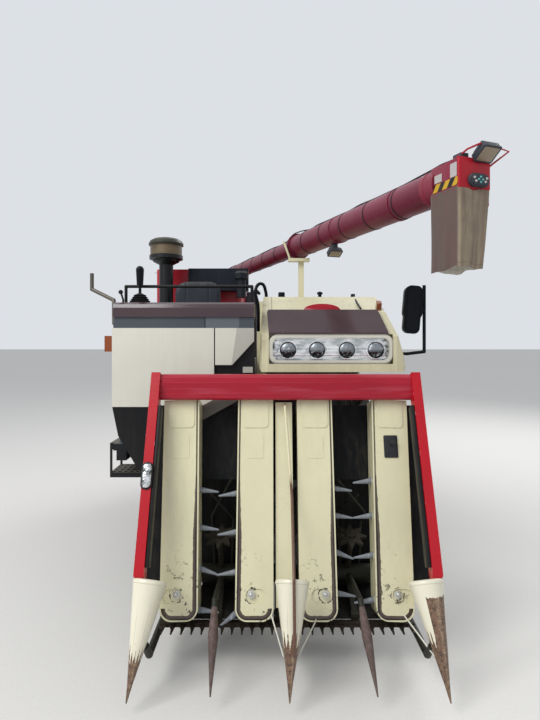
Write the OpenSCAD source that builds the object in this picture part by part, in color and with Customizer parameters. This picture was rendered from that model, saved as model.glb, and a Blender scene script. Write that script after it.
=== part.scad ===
// Four-row head-feeding combine harvester on rubber tracks.
// +Z is up, -Y is the front and +X is the threshing side. The operator sits on the -X side.

/* [Tracks] */
// Distance from the machine's centre plane to each track's centre
track_x = 530; // [500:5:560]
// Width of one rubber track
track_w = 450; // [400:10:450]
// Thickness of the rubber belt
belt_t = 28; // [20:1:34]
// Height of a ground lug
lug_h = 34; // [20:1:40]
// Length of a ground lug along the belt
lug_l = 38; // [26:1:44]
// Number of ground lugs on one track
lug_count = 46; // [36:1:50]
// Radius of a track roller
roller_r = 80; // [60:1:90]
// Number of track rollers on one side
roller_count = 6; // [4:1:6]
// First and last roller along the machine
roller_first_y = -560; // [-600:5:-500]
roller_last_y = 800; // [760:5:840]
// Radius of the rear idler
idler_r = 150; // [130:1:160]
// Outer radius of the drive sprocket
sprocket_r = 160; // [140:1:170]
// Number of sprocket teeth
sprocket_teeth = 11; // [9:1:13]
// Number of guide lugs in one row inside the belt
guide_count = 26; // [20:1:30]

/* [Header] */
// Centre line of the header across the machine
header_x = 136; // [120:1:150]
// Distance between two crop rows
row_pitch = 350; // [340:1:360]
// Width of a raking case
case_w = 190; // [170:1:200]
// Depth of a raking case
case_d = 140; // [120:1:150]
// Length of a raking case
case_l = 1100; // [1060:5:1120]
// Lean of the raking cases from upright, in degrees
case_lean = 15.5; // [14:0.5:17]
// Length of a raking tine
tine_l = 100; // [60:1:104]
// Radius of a raking tine at its root
tine_r = 12; // [8:1:14]
// Height of the red top bar
bar_h = 136; // [110:1:150]
// Depth of the red top bar
bar_d = 92; // [70:1:100]
// Width of a red side rail
rail_w = 48; // [30:1:56]
// Rim radius of a big divider cone
cone_r = 80; // [60:1:90]
// Number of fingers on the cutter bar
finger_count = 26; // [20:1:28]

/* [Operator station] */
// Outer side of the operator's platform
cab_x0 = -899; // [-905:1:-890]
// Inner side of the operator's platform
cab_x1 = -45; // [-60:1:-40]
// Front face of the operator's panels
cab_front_y = -1250; // [-1260:1:-1240]
// Height of the operator's floor
floor_z = 1000; // [980:5:1020]
// Height of the console's top
console_z = 1858; // [1840:1:1880]
// Thickness of the sheet panels
panel_t = 30; // [20:1:30]
// Height of the band under the console's top, where the panels end
band_z = 1702; // [1690:1:1720]
// Width of the seat cushion
seat_w = 440; // [400:5:440]

/* [Body] */
// Top of the deck that the body stands on
deck_z = 760; // [750:5:770]
// Side of the deck's square beams
beam_w = 60; // [50:1:60]
// Top of the engine hood under the seat
hood_z = 1400; // [1380:5:1420]
// Outer side of the grain tank
tank_x0 = -930; // [-935:1:-905]
// Top of the grain tank
tank_z = 2250; // [2200:5:2270]
// Thickness of the grain tank's wall
tank_t = 10; // [6:1:14]
// Radius of the rear towing eye
tow_r = 16; // [12:1:20]
// Thickness of the rear towing eye
tow_t = 22; // [16:1:30]
// Centre of the threshing drum across the machine
drum_x = 330; // [325:1:335]
// Height of the threshing drum's centre
drum_z = 1400; // [1390:5:1410]
// Radius of the threshing drum without its teeth
drum_r = 165; // [140:1:170]
// Height of a tooth on the threshing drum
drum_tooth_h = 50; // [30:1:55]

/* [Unloading auger] */
// Height of the auger's centre line
auger_z = 2335; // [2330:1:2345]
// Radius of the auger's front tube
auger_r = 82; // [70:1:84]
// Radius of the auger's rear tube
auger_rear_r = 64; // [50:1:66]
// Length of the auger from its pivot to the spout
auger_l = 4100; // [4080:5:4130]
// Turn of the auger from straight ahead towards +X, in degrees
auger_turn = 21; // [20:0.5:22]

/* [Hidden] */
$fn = 64;
skin = 0.3;
wheel_gap = 0.6;
running = 0.06;

// Colours
cream = "#D6D0AC";
off_white = "#CDCBBE";
crimson = "#AA1E32";
maroon = "#821E3C";
brown = "#4B3C3E";
slate = "#484E55";
black = "#16181B";
rubber = "#1D1E20";
steel = "#9AA0A5";
tine_blue = "#A5AFB9";
cloth = "#82705F";

// Tracks: the wheels that the belt runs round, as [y, z, radius of the belt's inner face]
belt_bottom_z = lug_h + belt_t;
roller_z = belt_bottom_z + roller_r;
sprocket_y = -780;
sprocket_z = 430;
idler_y = 960;
idler_z = 300;
track_wheels = [
    [roller_first_y, roller_z, roller_r],
    [roller_last_y, roller_z, roller_r],
    [idler_y, idler_z, idler_r],
    [sprocket_y, sprocket_z, sprocket_r],
];
belt_step = 7.5;
guide_lug_x = 97;
guide_lug_h = 38;
frame_beam_z = [255, 345];
frame_beam_w = 100;

// Deck
deck_beams_y = [-640, 300, 1200, 1730];
deck_rails_x = [-880, -60, 800];
deck_end_y = 1790;
engine_bearers_y = [-430, -170];
low_rail_x = 200;
low_rail_w = 80;
low_rail_z = [300, 400];

// Header: its hinge on the chassis, and the raking cases' foot
hinge_y = -600;
hinge_z = 950;
hinge_r = 45;
hinge_plates_x = [0, 380];
case_foot_y = -1844;
case_foot_z = 240;
cross_pipe_y = -1480;
cross_pipe_z = 330;
cross_pipe_r = 50;
arm_w = 110;
arm_knee = [-1150, 800];
// Raking cases: [centre at the foot, centre at the top, sides that carry tines]
cases = [
    [-535, -565, [1]],
    [-163, -163, [-1]],
    [156, 156, [1]],
    [533, 563, [-1]],
];
// Tine heights along each case, in the order of the cases
tine_heights = [[20, 215, 415, 605], [10, 200, 395, 590], [100, 298, 478, 616], [65, 278, 474, 652]];
// Big dividers: [offset of the rim, offset of the tip] from the header's centre line
big_dividers = [[-648, -705], [20, 0], [648, 695]];
cone_rim = [-1960, 487];
cone_tip = [-2170, 56];
// Small dividers: [offset of the top, offset of the tip]
small_divider_rows = [[-350, -345], [350, 384]];
small_top = [-1900, 374];
small_tip = [-2150, 70];
// Where a small divider is seated on its pipe, as a part of its length
small_seat = 0.08;
small_pipe_r = 14;
case_corner = 60;
case_lip = 8;
groove_w = 8;
groove_d = 12;
cover_s = case_l - 75;
hatch_s = 850;
bolt_s = 117;
bolt_x = [-12, -16, 35, 15];
// Stalk rods: [centre of the crop gap, points from it as [x, y, z]]
stalk_rods = [
    [-350, [[-40, cross_pipe_y, cross_pipe_z], [-60, -1460, 640], [60, -1560, 880]]],
    [-350, [[50, cross_pipe_y, cross_pipe_z], [60, -1460, 620], [-70, -1580, 820]]],
    [350, [[-40, cross_pipe_y, cross_pipe_z], [-60, -1458, 645], [45, -1556, 785]]],
    [350, [[60, cross_pipe_y, cross_pipe_z], [75, -1455, 610], [75, -1590, 700], [-70, -1590, 876]]],
];
bar_centre = raking_point(-29, case_l + 67);
rail_top = bar_centre + [0, bar_h / 2];
rail_foot = [-1952, 508];
rail_offset = 2 * row_pitch - 2;
knife_y = -1790;
knife_z = 185;
knife_arms_x = [-350, -45, 350];
star_place = [-1590, 577];
star_offsets = [-354, 349];
bar_x = [header_x - rail_offset + rail_w / 2, header_x + rail_offset - rail_w / 2];
guide_gap = 13;
guide_x = [cases[1][0] + case_w / 2 + guide_gap, cases[2][0] - case_w / 2 - 2 * guide_gap];
// The bent guide rod, as [x from the header's centre, y, z] in the raking cases' frame
guide_rod = [[-4, 30, case_l - 20], [-4, -25, case_l - 40], [27, -45, 600], [24, -268, 225], [24, -273, -20],
    [14, -273, -76]];
guide_rod_r = 7;

// Header cylinder: its anchor on the gearbox and its eye under the header arm
lift_anchor = [-945, 340];
lift_eye = [-1190, 572];
// Auger
auger_root = [-586, 1760];
auger_pin_r = 20;
ram_pin_r = 12;
flange_at = 2383;
auger_anchor = [130, 1840];
auger_eye = [480, 2225];

// Operator station
skirt_z = 1228;
band_top_z = band_z + 66;
console_back_y = -1000;
seat_x = -520;

// Body boxes
hood_x = [cab_x0, -250];
hood_y = [-640 + beam_w, 80];
bulkhead_y = [-520, -480];
bulkhead_z = 1920;
house_x = [20, 700];
house_y = [bulkhead_y[1], 1480];
concave_gap = 25;
concave_r = drum_r + drum_tooth_h + concave_gap;
tank_x1 = -190;
tank_y = [150, 1200];
side_cover_rows = [[-480, 700], [720, 1480]];
tank_corner = 50;
tank_beads_z = [1080, 1480, 1880];
cowl_x = [-14, 884];
cowl_top_x = [4, 742];
cowl_z = 1437;
lamp_x = [45, 793];
lamp_z = [1486, 1665];
lamp_front_y = -1240;
lamp_back_y = -1190;
lamp_centres_x = [160, 335, 515, 690];
visor_top = [-1115, 1822];
lamp_rim = 44;
mirror_foot_x = 860.5;
cover_hinge_x = drum_x - concave_r - 30;
cover_hinge_z = drum_z + 16;
cover_pin_r = 8;
rear_y = 2240;

// A box given by its two opposite corners
module block(lo, hi) {
    translate(lo) cube(hi - lo);
}

// A round rod or a cone between two points
module rod(p, q, r1, r2 = -1) {
    d = q - p;
    translate(p)
        rotate([0, atan2(norm([d[0], d[1]]), d[2]), atan2(d[1], d[0])])
            cylinder(h = norm(d), r1 = r1, r2 = r2 < 0 ? r1 : r2);
}

// A bent round rod through a list of points
module bent_rod(points, r) {
    for (i = [0 : len(points) - 2]) rod(points[i], points[i + 1], r);
    for (i = [1 : 1 : len(points) - 2]) translate(points[i]) rotate([17, 31, 0]) sphere(r + 0.5);
}

// A square beam between two points of the side view, centred on x
module side_beam(p, q, x, w, h) {
    d = q - p;
    translate([x - w / 2, p[0], p[1]])
        rotate([atan2(d[1], d[0]), 0, 0])
            translate([0, 0, -h / 2])
                cube([w, norm(d), h]);
}

// An outline of the side view, as [y, z], extruded across the machine
module across(x0, x1) {
    translate([x0, 0, 0]) rotate([90, 0, 90]) linear_extrude(x1 - x0) children();
}

// A point of the side view given in the raking cases' frame, by its depth and its height along the cases
function raking_point(y, s) = [case_foot_y + y * cos(case_lean) + s * sin(case_lean),
    case_foot_z - y * sin(case_lean) + s * cos(case_lean)];

// An outline of the front view, as [x, z], extruded from y0 back to y1
module deep(y0, y1) {
    translate([0, y1, 0]) rotate([90, 0, 0]) linear_extrude(y1 - y0) children();
}

// A strip of width w through three points, mitred at the middle one
module bent_strip(p, q, r, w) {
    u = (q - p) / norm(q - p);
    v = (r - q) / norm(r - q);
    n = [-u[1], u[0]] * w / 2;
    m = [-v[1], v[0]] * w / 2;
    mitre = (n + m) / (1 + u * v);
    polygon([p + n, q + mitre, r + m, r - m, q - mitre, p - n]);
}

// A rectangle with round corners, from its centre
module round_rect(w, h, r) {
    square([w - 2 * r, h], center = true);
    square([w, h - 2 * r], center = true);
    for (x = [-1, 1], y = [-1, 1]) translate([x * (w / 2 - r), y * (h / 2 - r)]) circle(r);
}

// Belt geometry: the tangent from one wheel to the next, and the belt's path along both
function turn_to(a, b) =
    atan2(b[1] - a[1], b[0] - a[0]) - asin((b[2] - a[2]) / norm([b[0] - a[0], b[1] - a[1]]));
function on_wheel(w, angle, extra) = [w[0] + (w[2] + extra) * sin(angle), w[1] - (w[2] + extra) * cos(angle)];
function next_wheel(i) = (i + 1) % len(track_wheels);
function last_wheel(i) = (i + len(track_wheels) - 1) % len(track_wheels);
function leave_angle(i) = turn_to(track_wheels[i], track_wheels[next_wheel(i)]);
function positive(angle) = angle < 0 ? angle + 360 : angle;
function wrap_angle(i) = positive(leave_angle(i) - leave_angle(last_wheel(i)));
function run_length(i) = norm(on_wheel(track_wheels[next_wheel(i)], leave_angle(i), 0)
    - on_wheel(track_wheels[i], leave_angle(i), 0));
function arc_length(i) = track_wheels[i][2] * wrap_angle(i) * PI / 180;
function belt_length(i = 0) = i == len(track_wheels) ? 0 : arc_length(i) + run_length(i) + belt_length(i + 1);
// The place at a distance s along the belt, as [y, z, heading angle]
function belt_place(s, extra, i = 0) =
    s < arc_length(i)
    ? let (a = leave_angle(last_wheel(i)) + s / track_wheels[i][2] * 180 / PI)
        concat(on_wheel(track_wheels[i], a, extra), [a])
    : s < arc_length(i) + run_length(i)
    ? let (a = leave_angle(i), p = on_wheel(track_wheels[i], a, extra), u = s - arc_length(i))
        [p[0] + u * cos(a), p[1] + u * sin(a), a]
    : belt_place(s - arc_length(i) - run_length(i), extra, (i + 1) % len(track_wheels));

module belt_outline(extra) {
    polygon([for (i = [0 : len(track_wheels) - 1])
        let (a0 = leave_angle(last_wheel(i)), steps = ceil(wrap_angle(i) / belt_step))
            for (j = [0 : steps]) on_wheel(track_wheels[i], a0 + wrap_angle(i) * j / steps, extra)]);
}

module track(x) {
    color(rubber) {
        across(x - track_w / 2, x + track_w / 2) difference() {
            belt_outline(belt_t);
            belt_outline(0);
        }
        for (i = [0 : lug_count - 1]) {
            p = belt_place(belt_length() * i / lug_count, belt_t - 2);
            side = i % 2 == 0 ? -1 : 1;
            translate([x + side * track_w / 8, p[0], p[1]])
                rotate([p[2], 0, 0])
                    translate([-3 * track_w / 8 + 3, -lug_l / 2, -lug_h - 2])
                        cube([3 * track_w / 4 - 6, lug_l, lug_h + 2]);
        }
        // Guide lugs that run beside the rollers
        for (i = [0 : guide_count - 1], side = [-1, 1]) {
            p = belt_place(belt_length() * i / guide_count, 0);
            translate([x + side * guide_lug_x, p[0], p[1]])
                rotate([p[2], 0, 0])
                    block([-12, -18, -3], [12, 18, guide_lug_h]);
        }
    }
}

module track_left() {
    track(track_x);
}

module track_right() {
    track(-track_x);
}

module track_frames() {
    color(black) for (side = [-1, 1]) {
        x = side * track_x;
        block([x - frame_beam_w / 2, roller_first_y, frame_beam_z[0]],
            [x + frame_beam_w / 2, idler_y - idler_r - 40, frame_beam_z[1]]);
        // The idler's fork
        for (s = [-1, 1])
            block([x + s * 70 - 10, idler_y - idler_r - 60, idler_z - 30],
                [x + s * 70 + 10, idler_y + 40, idler_z + 30]);
        block([x - 80, idler_y - idler_r - 60, idler_z - 30], [x + 80, idler_y - idler_r - 20, idler_z + 30]);
        rod([x - 85, idler_y, idler_z], [x + 85, idler_y, idler_z], 25);
        rod([x - 55, idler_y, idler_z], [x + 55, idler_y, idler_z], idler_r - wheel_gap);
        // The rollers on their hangers
        for (i = [0 : roller_count - 1]) {
            y = roller_first_y + (roller_last_y - roller_first_y) * i / (roller_count - 1);
            for (s = [-1, 1])
                block([x + s * 85 - 8, y - 30, roller_z - 25],
                    [x + s * 85 + 8, y + 30, frame_beam_z[0] + 20]);
            block([x - 93, y - 30, frame_beam_z[0]], [x + 93, y + 30, frame_beam_z[0] + 20]);
            rod([x - 93, y, roller_z], [x + 93, y, roller_z], 18);
            rod([x - 70, y, roller_z], [x + 70, y, roller_z], roller_r - wheel_gap);
        }
    }
}

module drive_sprockets() {
    color(steel) for (side = [-1, 1]) scale([side, 1, 1]) {
        rod([300, sprocket_y, sprocket_z], [590, sprocket_y, sprocket_z], 35);
        across(track_x - 30, track_x + 30) translate([sprocket_y, sprocket_z]) difference() {
            circle(sprocket_r - wheel_gap);
            for (i = [0 : sprocket_teeth - 1])
                rotate(i * 360 / sprocket_teeth) translate([sprocket_r, 0]) circle(sprocket_r * 0.16);
        }
    }
}

module chassis_frame() {
    color(black) difference() {
        union() {
            for (x = [-low_rail_x, low_rail_x])
                block([x - low_rail_w / 2, -560, low_rail_z[0]], [x + low_rail_w / 2, 1300, low_rail_z[1]]);
            for (y = [-350, 150, 650])
                rod([-track_x + frame_beam_w / 2, y, 300], [track_x - frame_beam_w / 2, y, 300], 35);
            for (x = [-low_rail_x, low_rail_x], y = [-500, 300, 1200])
                block([x - 40, y, low_rail_z[1]], [x + 40, y + beam_w, deck_z - beam_w]);
            for (y = deck_beams_y)
                block([deck_rails_x[0], y, deck_z - beam_w], [deck_rails_x[2] + beam_w, y + beam_w, deck_z]);
            block([-260, -500, deck_z - beam_w], [260, -500 + beam_w, deck_z]);
            for (x = deck_rails_x)
                block([x, deck_beams_y[0], deck_z - beam_w], [x + beam_w, deck_end_y, deck_z]);
            for (y = engine_bearers_y)
                block([deck_rails_x[0], y, deck_z - beam_w], [deck_rails_x[1] + beam_w, y + beam_w, deck_z]);
            for (x = hinge_plates_x) across(x - 15, x + 15) {
                translate([hinge_y, hinge_z]) circle(hinge_r + 25);
                polygon([[hinge_y - 70, hinge_z], [hinge_y + 70, hinge_z], [hinge_y + 70, deck_z - beam_w],
                    [hinge_y - 40, deck_z - beam_w], [hinge_y - 40, deck_z]]);
            }
        }
        rod([-60, hinge_y, hinge_z], [450, hinge_y, hinge_z], hinge_r + running);
    }
    // The rear towing eye, on its plate behind the deck
    color(black) difference() {
        union() {
            block([-60, deck_end_y + skin, deck_z - beam_w], [60, deck_end_y + 12, deck_z]);
            block([-45, deck_end_y + 5, deck_z - beam_w], [45, deck_end_y + 60, deck_z - beam_w + tow_t]);
        }
        translate([0, deck_end_y + 25, deck_z - beam_w - 1]) cylinder(h = tow_t + 2, r = tow_r);
    }
}

module transmission_case() {
    color(steel) {
        across(-235, 235)
            polygon([[-560, 320], [-850, 320], [-900, 380], [-900, 560], [-820, deck_z - beam_w],
                [-560, deck_z - beam_w]]);
        for (side = [-1, 1])
            rod([side * 230, sprocket_y, sprocket_z], [side * 300, sprocket_y, sprocket_z], 70);
        for (s = [-1, 1]) difference() {
            across(header_x - 8 + s * 44, header_x + 8 + s * 44) {
                translate(lift_anchor) circle(32);
                polygon([[-845, lift_anchor[1] + 32], lift_anchor + [0, 32], lift_anchor - [0, 32],
                    [-845, lift_anchor[1] - 12]]);
            }
            rod([header_x - 60, lift_anchor[0], lift_anchor[1]],
                [header_x + 60, lift_anchor[0], lift_anchor[1]], 16 + running);
        }
    }
}

module engine_block() {
    color(slate) {
        block([-760, -520, deck_z], [-330, -20, 1260]);
        // The radiator's core, behind the door on the outer side
        block([-860, -500, deck_z], [-790, 0, 1320]);
    }
}

module operator_platform() {
    color(black) {
        block([cab_x0, cab_front_y + panel_t, floor_z - 40], [cab_x1, deck_beams_y[0] + beam_w, floor_z]);
        for (x = [cab_x0 + 19, cab_x1 - 65]) {
            block([x, cab_front_y + panel_t, floor_z - 100],
                [x + beam_w, deck_beams_y[0] + beam_w, floor_z - 40]);
            block([x, deck_beams_y[0], deck_z], [x + beam_w, deck_beams_y[0] + beam_w, floor_z - 40]);
        }
        // The step, hung from the floor's outer edge
        difference() {
            block([cab_x0 - 29, -1190, 790], [-730, -950, 820]);
            for (i = [0 : 4], j = [0 : 3])
                translate([cab_x0 - 10 + i * 36, -1165 + j * 60, 780]) cylinder(h = 50, r = 11);
        }
        for (y = [-1190, -962]) block([cab_x0 - 29, y, 790], [cab_x0 - 17, y + 12, floor_z]);
        block([cab_x0 - 29, -1190, floor_z - 40], [cab_x0, -950, floor_z]);
    }
}

module front_panels() {
    color(off_white) {
        block([cab_x0, cab_front_y, skirt_z], [-286, cab_front_y + panel_t, band_z]);
        // The corner panel, cut away at its lower right
        deep(cab_front_y, cab_front_y + panel_t)
            polygon([[-279, band_z], [-279, 1480], [-177, 1480], [cab_x1, 1624], [cab_x1, band_z]]);
        // The small blank plate
        block([-113, cab_front_y + 10, 1433], [-53, cab_front_y + panel_t, 1468]);
    }
}

module console_box() {
    color(slate) {
        block([cab_x0 + 7, cab_front_y + 5, band_z], [cab_x1, console_back_y, band_top_z]);
        block([cab_x0 + 40, cab_front_y + panel_t, floor_z], [cab_x1, -1120, band_z]);
    }
}

module console_band() {
    color(brown) across(cab_x0 + 7, cab_x1)
        polygon([[cab_front_y - 5, band_top_z], [cab_front_y - 5, console_z - 34],
            [cab_front_y + 5, console_z - 12],
            [cab_front_y + 28, console_z], [console_back_y, console_z], [console_back_y, band_top_z]]);
}

module lower_skirt() {
    color(black) deep(cab_front_y + 5, cab_front_y + panel_t)
        polygon([[cab_x0, skirt_z], [cab_x0 + 36, 1053], [cab_x0 + 157, 849], [cab_x1, 849],
            [cab_x1, skirt_z]]);
}

module side_console() {
    color(slate) across(-240, -60)
        polygon([[-1000, floor_z], [-1000, 1420], [-920, 1500], [-160, 1500], [-100, 1440], [-100, deck_z],
            [-579, deck_z], [-579, floor_z]]);
}

module steering_lever() {
    color(black) translate([-766, -1100, console_z]) {
        for (i = [0 : 3]) translate([0, 0, i * 13]) cylinder(h = 13, r1 = 70 - i * 9, r2 = 58 - i * 9);
        cylinder(h = 130, r = 9);
        translate([0, 0, 120]) cylinder(h = 94, r1 = 20, r2 = 25);
        translate([0, 0, 214]) sphere(25);
    }
}

module control_levers() {
    color(black) {
        // The guard bar over the console
        bent_rod([[-867, -1050, console_z], [-867, -1050, 1973], [-64, -1050, 1973],
            [-64, -1050, console_z]], 10);
        bent_rod([[-850, -1180, console_z], [-850, -1180, console_z + 20], [-865, -1180, 1925]], 6);
        translate([-865, -1180, 1925]) sphere(14);
        // Levers on the side console
        for (i = [0 : 2]) {
            y = -860 + i * 160;
            bent_rod([[-150, y, 1500], [-150, y, 1515], [-150 - 12 * i, y - 20, 1640]], 7);
            translate([-150 - 12 * i, y - 20, 1650]) sphere(20);
        }
    }
}

module engine_hood() {
    color(cream) difference() {
        block([hood_x[0], hood_y[0], deck_z], [hood_x[1], hood_y[1], hood_z]);
        block([hood_x[0] + 12, hood_y[0] + 12, deck_z - 1], [hood_x[1] - 12, hood_y[1] - 12, hood_z - 12]);
        // The radiator's window
        block([hood_x[0] - 1, -520, 820], [hood_x[0] + 13, 20, 1340]);
    }
    // Ears that hold the radiator door's hinge pin
    color(cream) for (z = [770, 1385 + skin])
        block([hood_x[0] - 29, 58, z], [hood_x[0], 80, z + 20 - skin]);
}

module radiator_door() {
    color(cream) {
        difference() {
            block([cab_x0 - 30, hood_y[0] + 10, 790], [cab_x0 - 1, 60, 1385]);
            block([cab_x0 - 31, -510, 850], [cab_x0, 0, 1320]);
        }
        for (i = [0 : 14]) block([cab_x0 - 22, -515, 866 + i * 31], [cab_x0 - 8, 5, 880 + i * 31]);
        rod([cab_x0 - 15, 70, 790], [cab_x0 - 15, 70, 1385], 9);
        block([cab_x0 - 20, 55, 790], [cab_x0 - 10, 70, 1385]);
    }
}

module seat_frame() {
    color(black) {
        block([-520 - 180, -560, hood_z], [-520 + 180, -180, hood_z + 50]);
        block([-520 - seat_w / 2, -190, hood_z], [-520 + seat_w / 2, -160, hood_z + 380]);
    }
}

module seat_cushions() {
    color(slate) {
        translate([seat_x, -385, hood_z + 50]) linear_extrude(100) round_rect(seat_w, 370, 70);
        deep(-230, -190.3) translate([seat_x, hood_z + 435]) round_rect(seat_w - 40, 550, 90);
    }
}

module pre_cleaner() {
    color(brown) translate([-793, -100, hood_z]) rotate_extrude() polygon([
        [0, 0], [56, 0], [56, 850], [104, 875],
        [112, 890], [134, 895], [134, 924], [127, 928], [127, 1000], [139, 1006], [140, 1020], [128, 1042],
        [100, 1058], [55, 1068], [0, 1070]]);
}

module grain_tank() {
    w = tank_x1 - tank_x0;
    l = tank_y[1] - tank_y[0];
    color(crimson) difference() {
        union() {
            translate([tank_x0 + w / 2, tank_y[0] + l / 2, deck_z]) {
                linear_extrude(tank_z - deck_z) round_rect(w, l, tank_corner);
                // The lid
                translate([-60, 0]) linear_extrude(tank_z - deck_z + 18)
                    round_rect(w - 300, l - 420, tank_corner);
            }
            // Beads pressed in the outer side
            for (z = tank_beads_z)
                block([tank_x0 - 6, tank_y[0] + 90, z], [tank_x0 + 1, tank_y[1] - 90, z + 36]);
        }
        translate([tank_x0 + w / 2, tank_y[0] + l / 2, deck_z + tank_t])
            linear_extrude(tank_z - deck_z - 2 * tank_t)
                round_rect(w - 2 * tank_t, l - 2 * tank_t, tank_corner - tank_t);
        // The opening where the grain comes in
        block([tank_x1 - tank_t - 1, 820, 1960], [tank_x1 + 1, 940, 2080]);
    }
}

module grain_elevator() {
    color(slate) {
        block([-180, 810, deck_z], [-80, 950, 2120]);
        block([tank_x1, 820, 1960], [-180, 940, 2080]);
    }
}

module air_duct() {
    top = tank_z - 10;
    color(slate) {
        block([-631, 20, top - 183], [-132, tank_y[0], top]);
        // The round breather in front of its end
        translate([-185, -36, top - 250]) rotate_extrude() polygon([
            [0, 0], [38, 0], [38, 150], [57, 155], [57, 200],
            [40, 217], [0, 222]]);
        block([-200, -5, top - 150], [-170, 21, top - 120]);
    }
}

module threshing_housing() {
    color(cream) difference() {
        union() {
            block([house_x[0], house_y[0], deck_z], [house_x[1], house_y[1], drum_z]);
            block([-45, bulkhead_y[0], deck_z], [house_x[1], bulkhead_y[1], bulkhead_z]);
            // The front pin that the drum's cover turns on
            rod([cover_hinge_x, bulkhead_y[0] + 10, cover_hinge_z],
                [cover_hinge_x, house_y[0] + 42, cover_hinge_z], cover_pin_r);
        }
        // The trough round the drum
        rod([drum_x, house_y[0] + 40, drum_z], [drum_x, house_y[1] - 40, drum_z], concave_r);
    }
}

module threshing_drum() {
    color(steel) {
        rod([drum_x, house_y[0] + 60, drum_z], [drum_x, house_y[1] - 60, drum_z], drum_r);
        rod([drum_x, house_y[0] + 40, drum_z], [drum_x, house_y[1] - 40, drum_z], 30);
        for (i = [0 : 16], a = [0 : 60 : 300])
            translate([drum_x, house_y[0] + 140 + i * 105, drum_z])
                rotate([0, a + i * 12, 0])
                    translate([0, 0, drum_r - 3]) cylinder(h = drum_tooth_h + 3, r = 6, $fn = 16);
    }
}

module drum_cover() {
    color(cream) difference() {
        union() {
            rod([drum_x, house_y[0] + 2, drum_z], [drum_x, house_y[1] - 2, drum_z], concave_r + 30);
            rod([cover_hinge_x, house_y[0] + 2, cover_hinge_z],
                [cover_hinge_x, house_y[1] - 2, cover_hinge_z], 14);
            block([drum_x, house_y[0] + 2, drum_z + 1], [house_x[1] + 10, house_y[1] - 2, drum_z + 26]);
        }
        rod([drum_x, house_y[0] + 20, drum_z], [drum_x, house_y[1] - 20, drum_z], concave_r);
        block([-200, house_y[0] - 1, drum_z - 500], [900, house_y[1] + 1, drum_z + 1]);
        for (y = [house_y[0] + 1, house_y[1] - 45])
            rod([cover_hinge_x, y, cover_hinge_z], [cover_hinge_x, y + 44, cover_hinge_z],
                cover_pin_r + running);
    }
}

module feed_chain() {
    color(steel) {
        across(725, 765) difference() {
            union() {
                translate([-540, 1270]) circle(50);
                translate([1420, 1270]) circle(50);
                translate([-540, 1220]) square([1960, 100]);
            }
            translate([-540, 1250]) square([1960, 40]);
        }
        for (i = [0 : 41]) block([730, -540 + i * 46, 1320], [760, -520 + i * 46, 1335]);
        for (y = [-300, 400, 1100]) block([house_x[1], y, 1250], [745, y + 60, 1290]);
    }
}

module feed_rail() {
    color(steel) {
        block([730, -380, 1350], [760, 1300, 1370]);
        for (y = [-250, 250, 750, 1200]) rod([745, y, 1365], [745, y, 1460], 8);
        block([house_x[1] + 10, -380, 1401], [745, 1300, 1426]);
    }
}

module side_covers() {
    color(cream) for (c = side_cover_rows) {
        w = c[1] - c[0];
        across(house_x[1], house_x[1] + 25)
            translate([c[0] + w / 2, (deck_z + 1200) / 2]) round_rect(w, 1200 - deck_z, 45);
        across(house_x[1] + 24, house_x[1] + 31)
            translate([c[0] + w / 2, (deck_z + 1200) / 2]) round_rect(w - 120, 1200 - deck_z - 110, 30);
        block([house_x[1] + 30, c[1] - 190, 1090], [house_x[1] + 44, c[1] - 110, 1112]);
    }
}

module straw_cutter() {
    color(crimson) difference() {
        across(house_x[0], 860)
            polygon([[1480, deck_z + 100], [1480, 1500], [1600, 1600], [rear_y - 60, 1500], [rear_y, 1300],
                [rear_y, 900]]);
        across(house_x[0] + 12, 848)
            polygon([[1492, deck_z + 60], [1492, 1490], [1600, 1585], [rear_y - 72, 1488],
                [rear_y - 12, 1298], [rear_y - 12, 880]]);
    }
    // The rear pin that the drum's cover turns on
    color(crimson) rod([cover_hinge_x, house_y[1] - 40, cover_hinge_z],
        [cover_hinge_x, house_y[1] + 10, cover_hinge_z], cover_pin_r);
}

// The cowl's form, drawn in by an inset: its side view, front view and plan together
module cowl_form(inset, back) {
    top = bulkhead_z - inset;
    intersection() {
        across(cowl_x[0] - 1, cowl_x[1] + 1)
            polygon([[-1245 + inset, cowl_z + 4 * inset - (inset > 0 ? 90 : 0)],
                [-1245 + inset, 1650 - inset],
                [-1225 + inset, 1668 - inset], [-1090 + inset, 1808 - inset], [-900 + inset / 2, top],
                [bulkhead_y[0] + back, top], [bulkhead_y[0] + back, cowl_z - (inset > 0 ? 40 : 0)]]);
        deep(-1300, -400)
            polygon([[cowl_x[0] + 14 + inset, cowl_z], [cowl_x[0] + inset, cowl_z + 18],
                [cowl_x[0] + inset, 1500],
                [cowl_top_x[0] + inset, 1860], [cowl_top_x[0] + 6 + inset, 2000],
                [cowl_top_x[1] - inset, 2000],
                [cowl_top_x[1] + 20 - inset, 1860], [cowl_x[1] - 4 - inset, cowl_z + 32],
                [cowl_x[1] - inset, cowl_z + 18], [cowl_x[1] - 16 - inset, cowl_z], [cowl_x[1] - 60, 1380],
                [cowl_x[0] + 60, 1380]]);
        translate([0, 0, 1300]) linear_extrude(800)
            polygon([[cowl_x[0] + inset, -1195 + inset], [cowl_x[0] + 16 + inset, -1230 + inset],
                [cowl_x[0] + 50, -1245 + inset], [cowl_x[1] - 70, -1245 + inset],
                [cowl_x[1] - 26 - inset, -1228 + inset],
                [cowl_x[1] - inset, -1180 + inset], [cowl_x[1] - inset, -400], [cowl_x[0] + inset, -400]]);
    }
}

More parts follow.
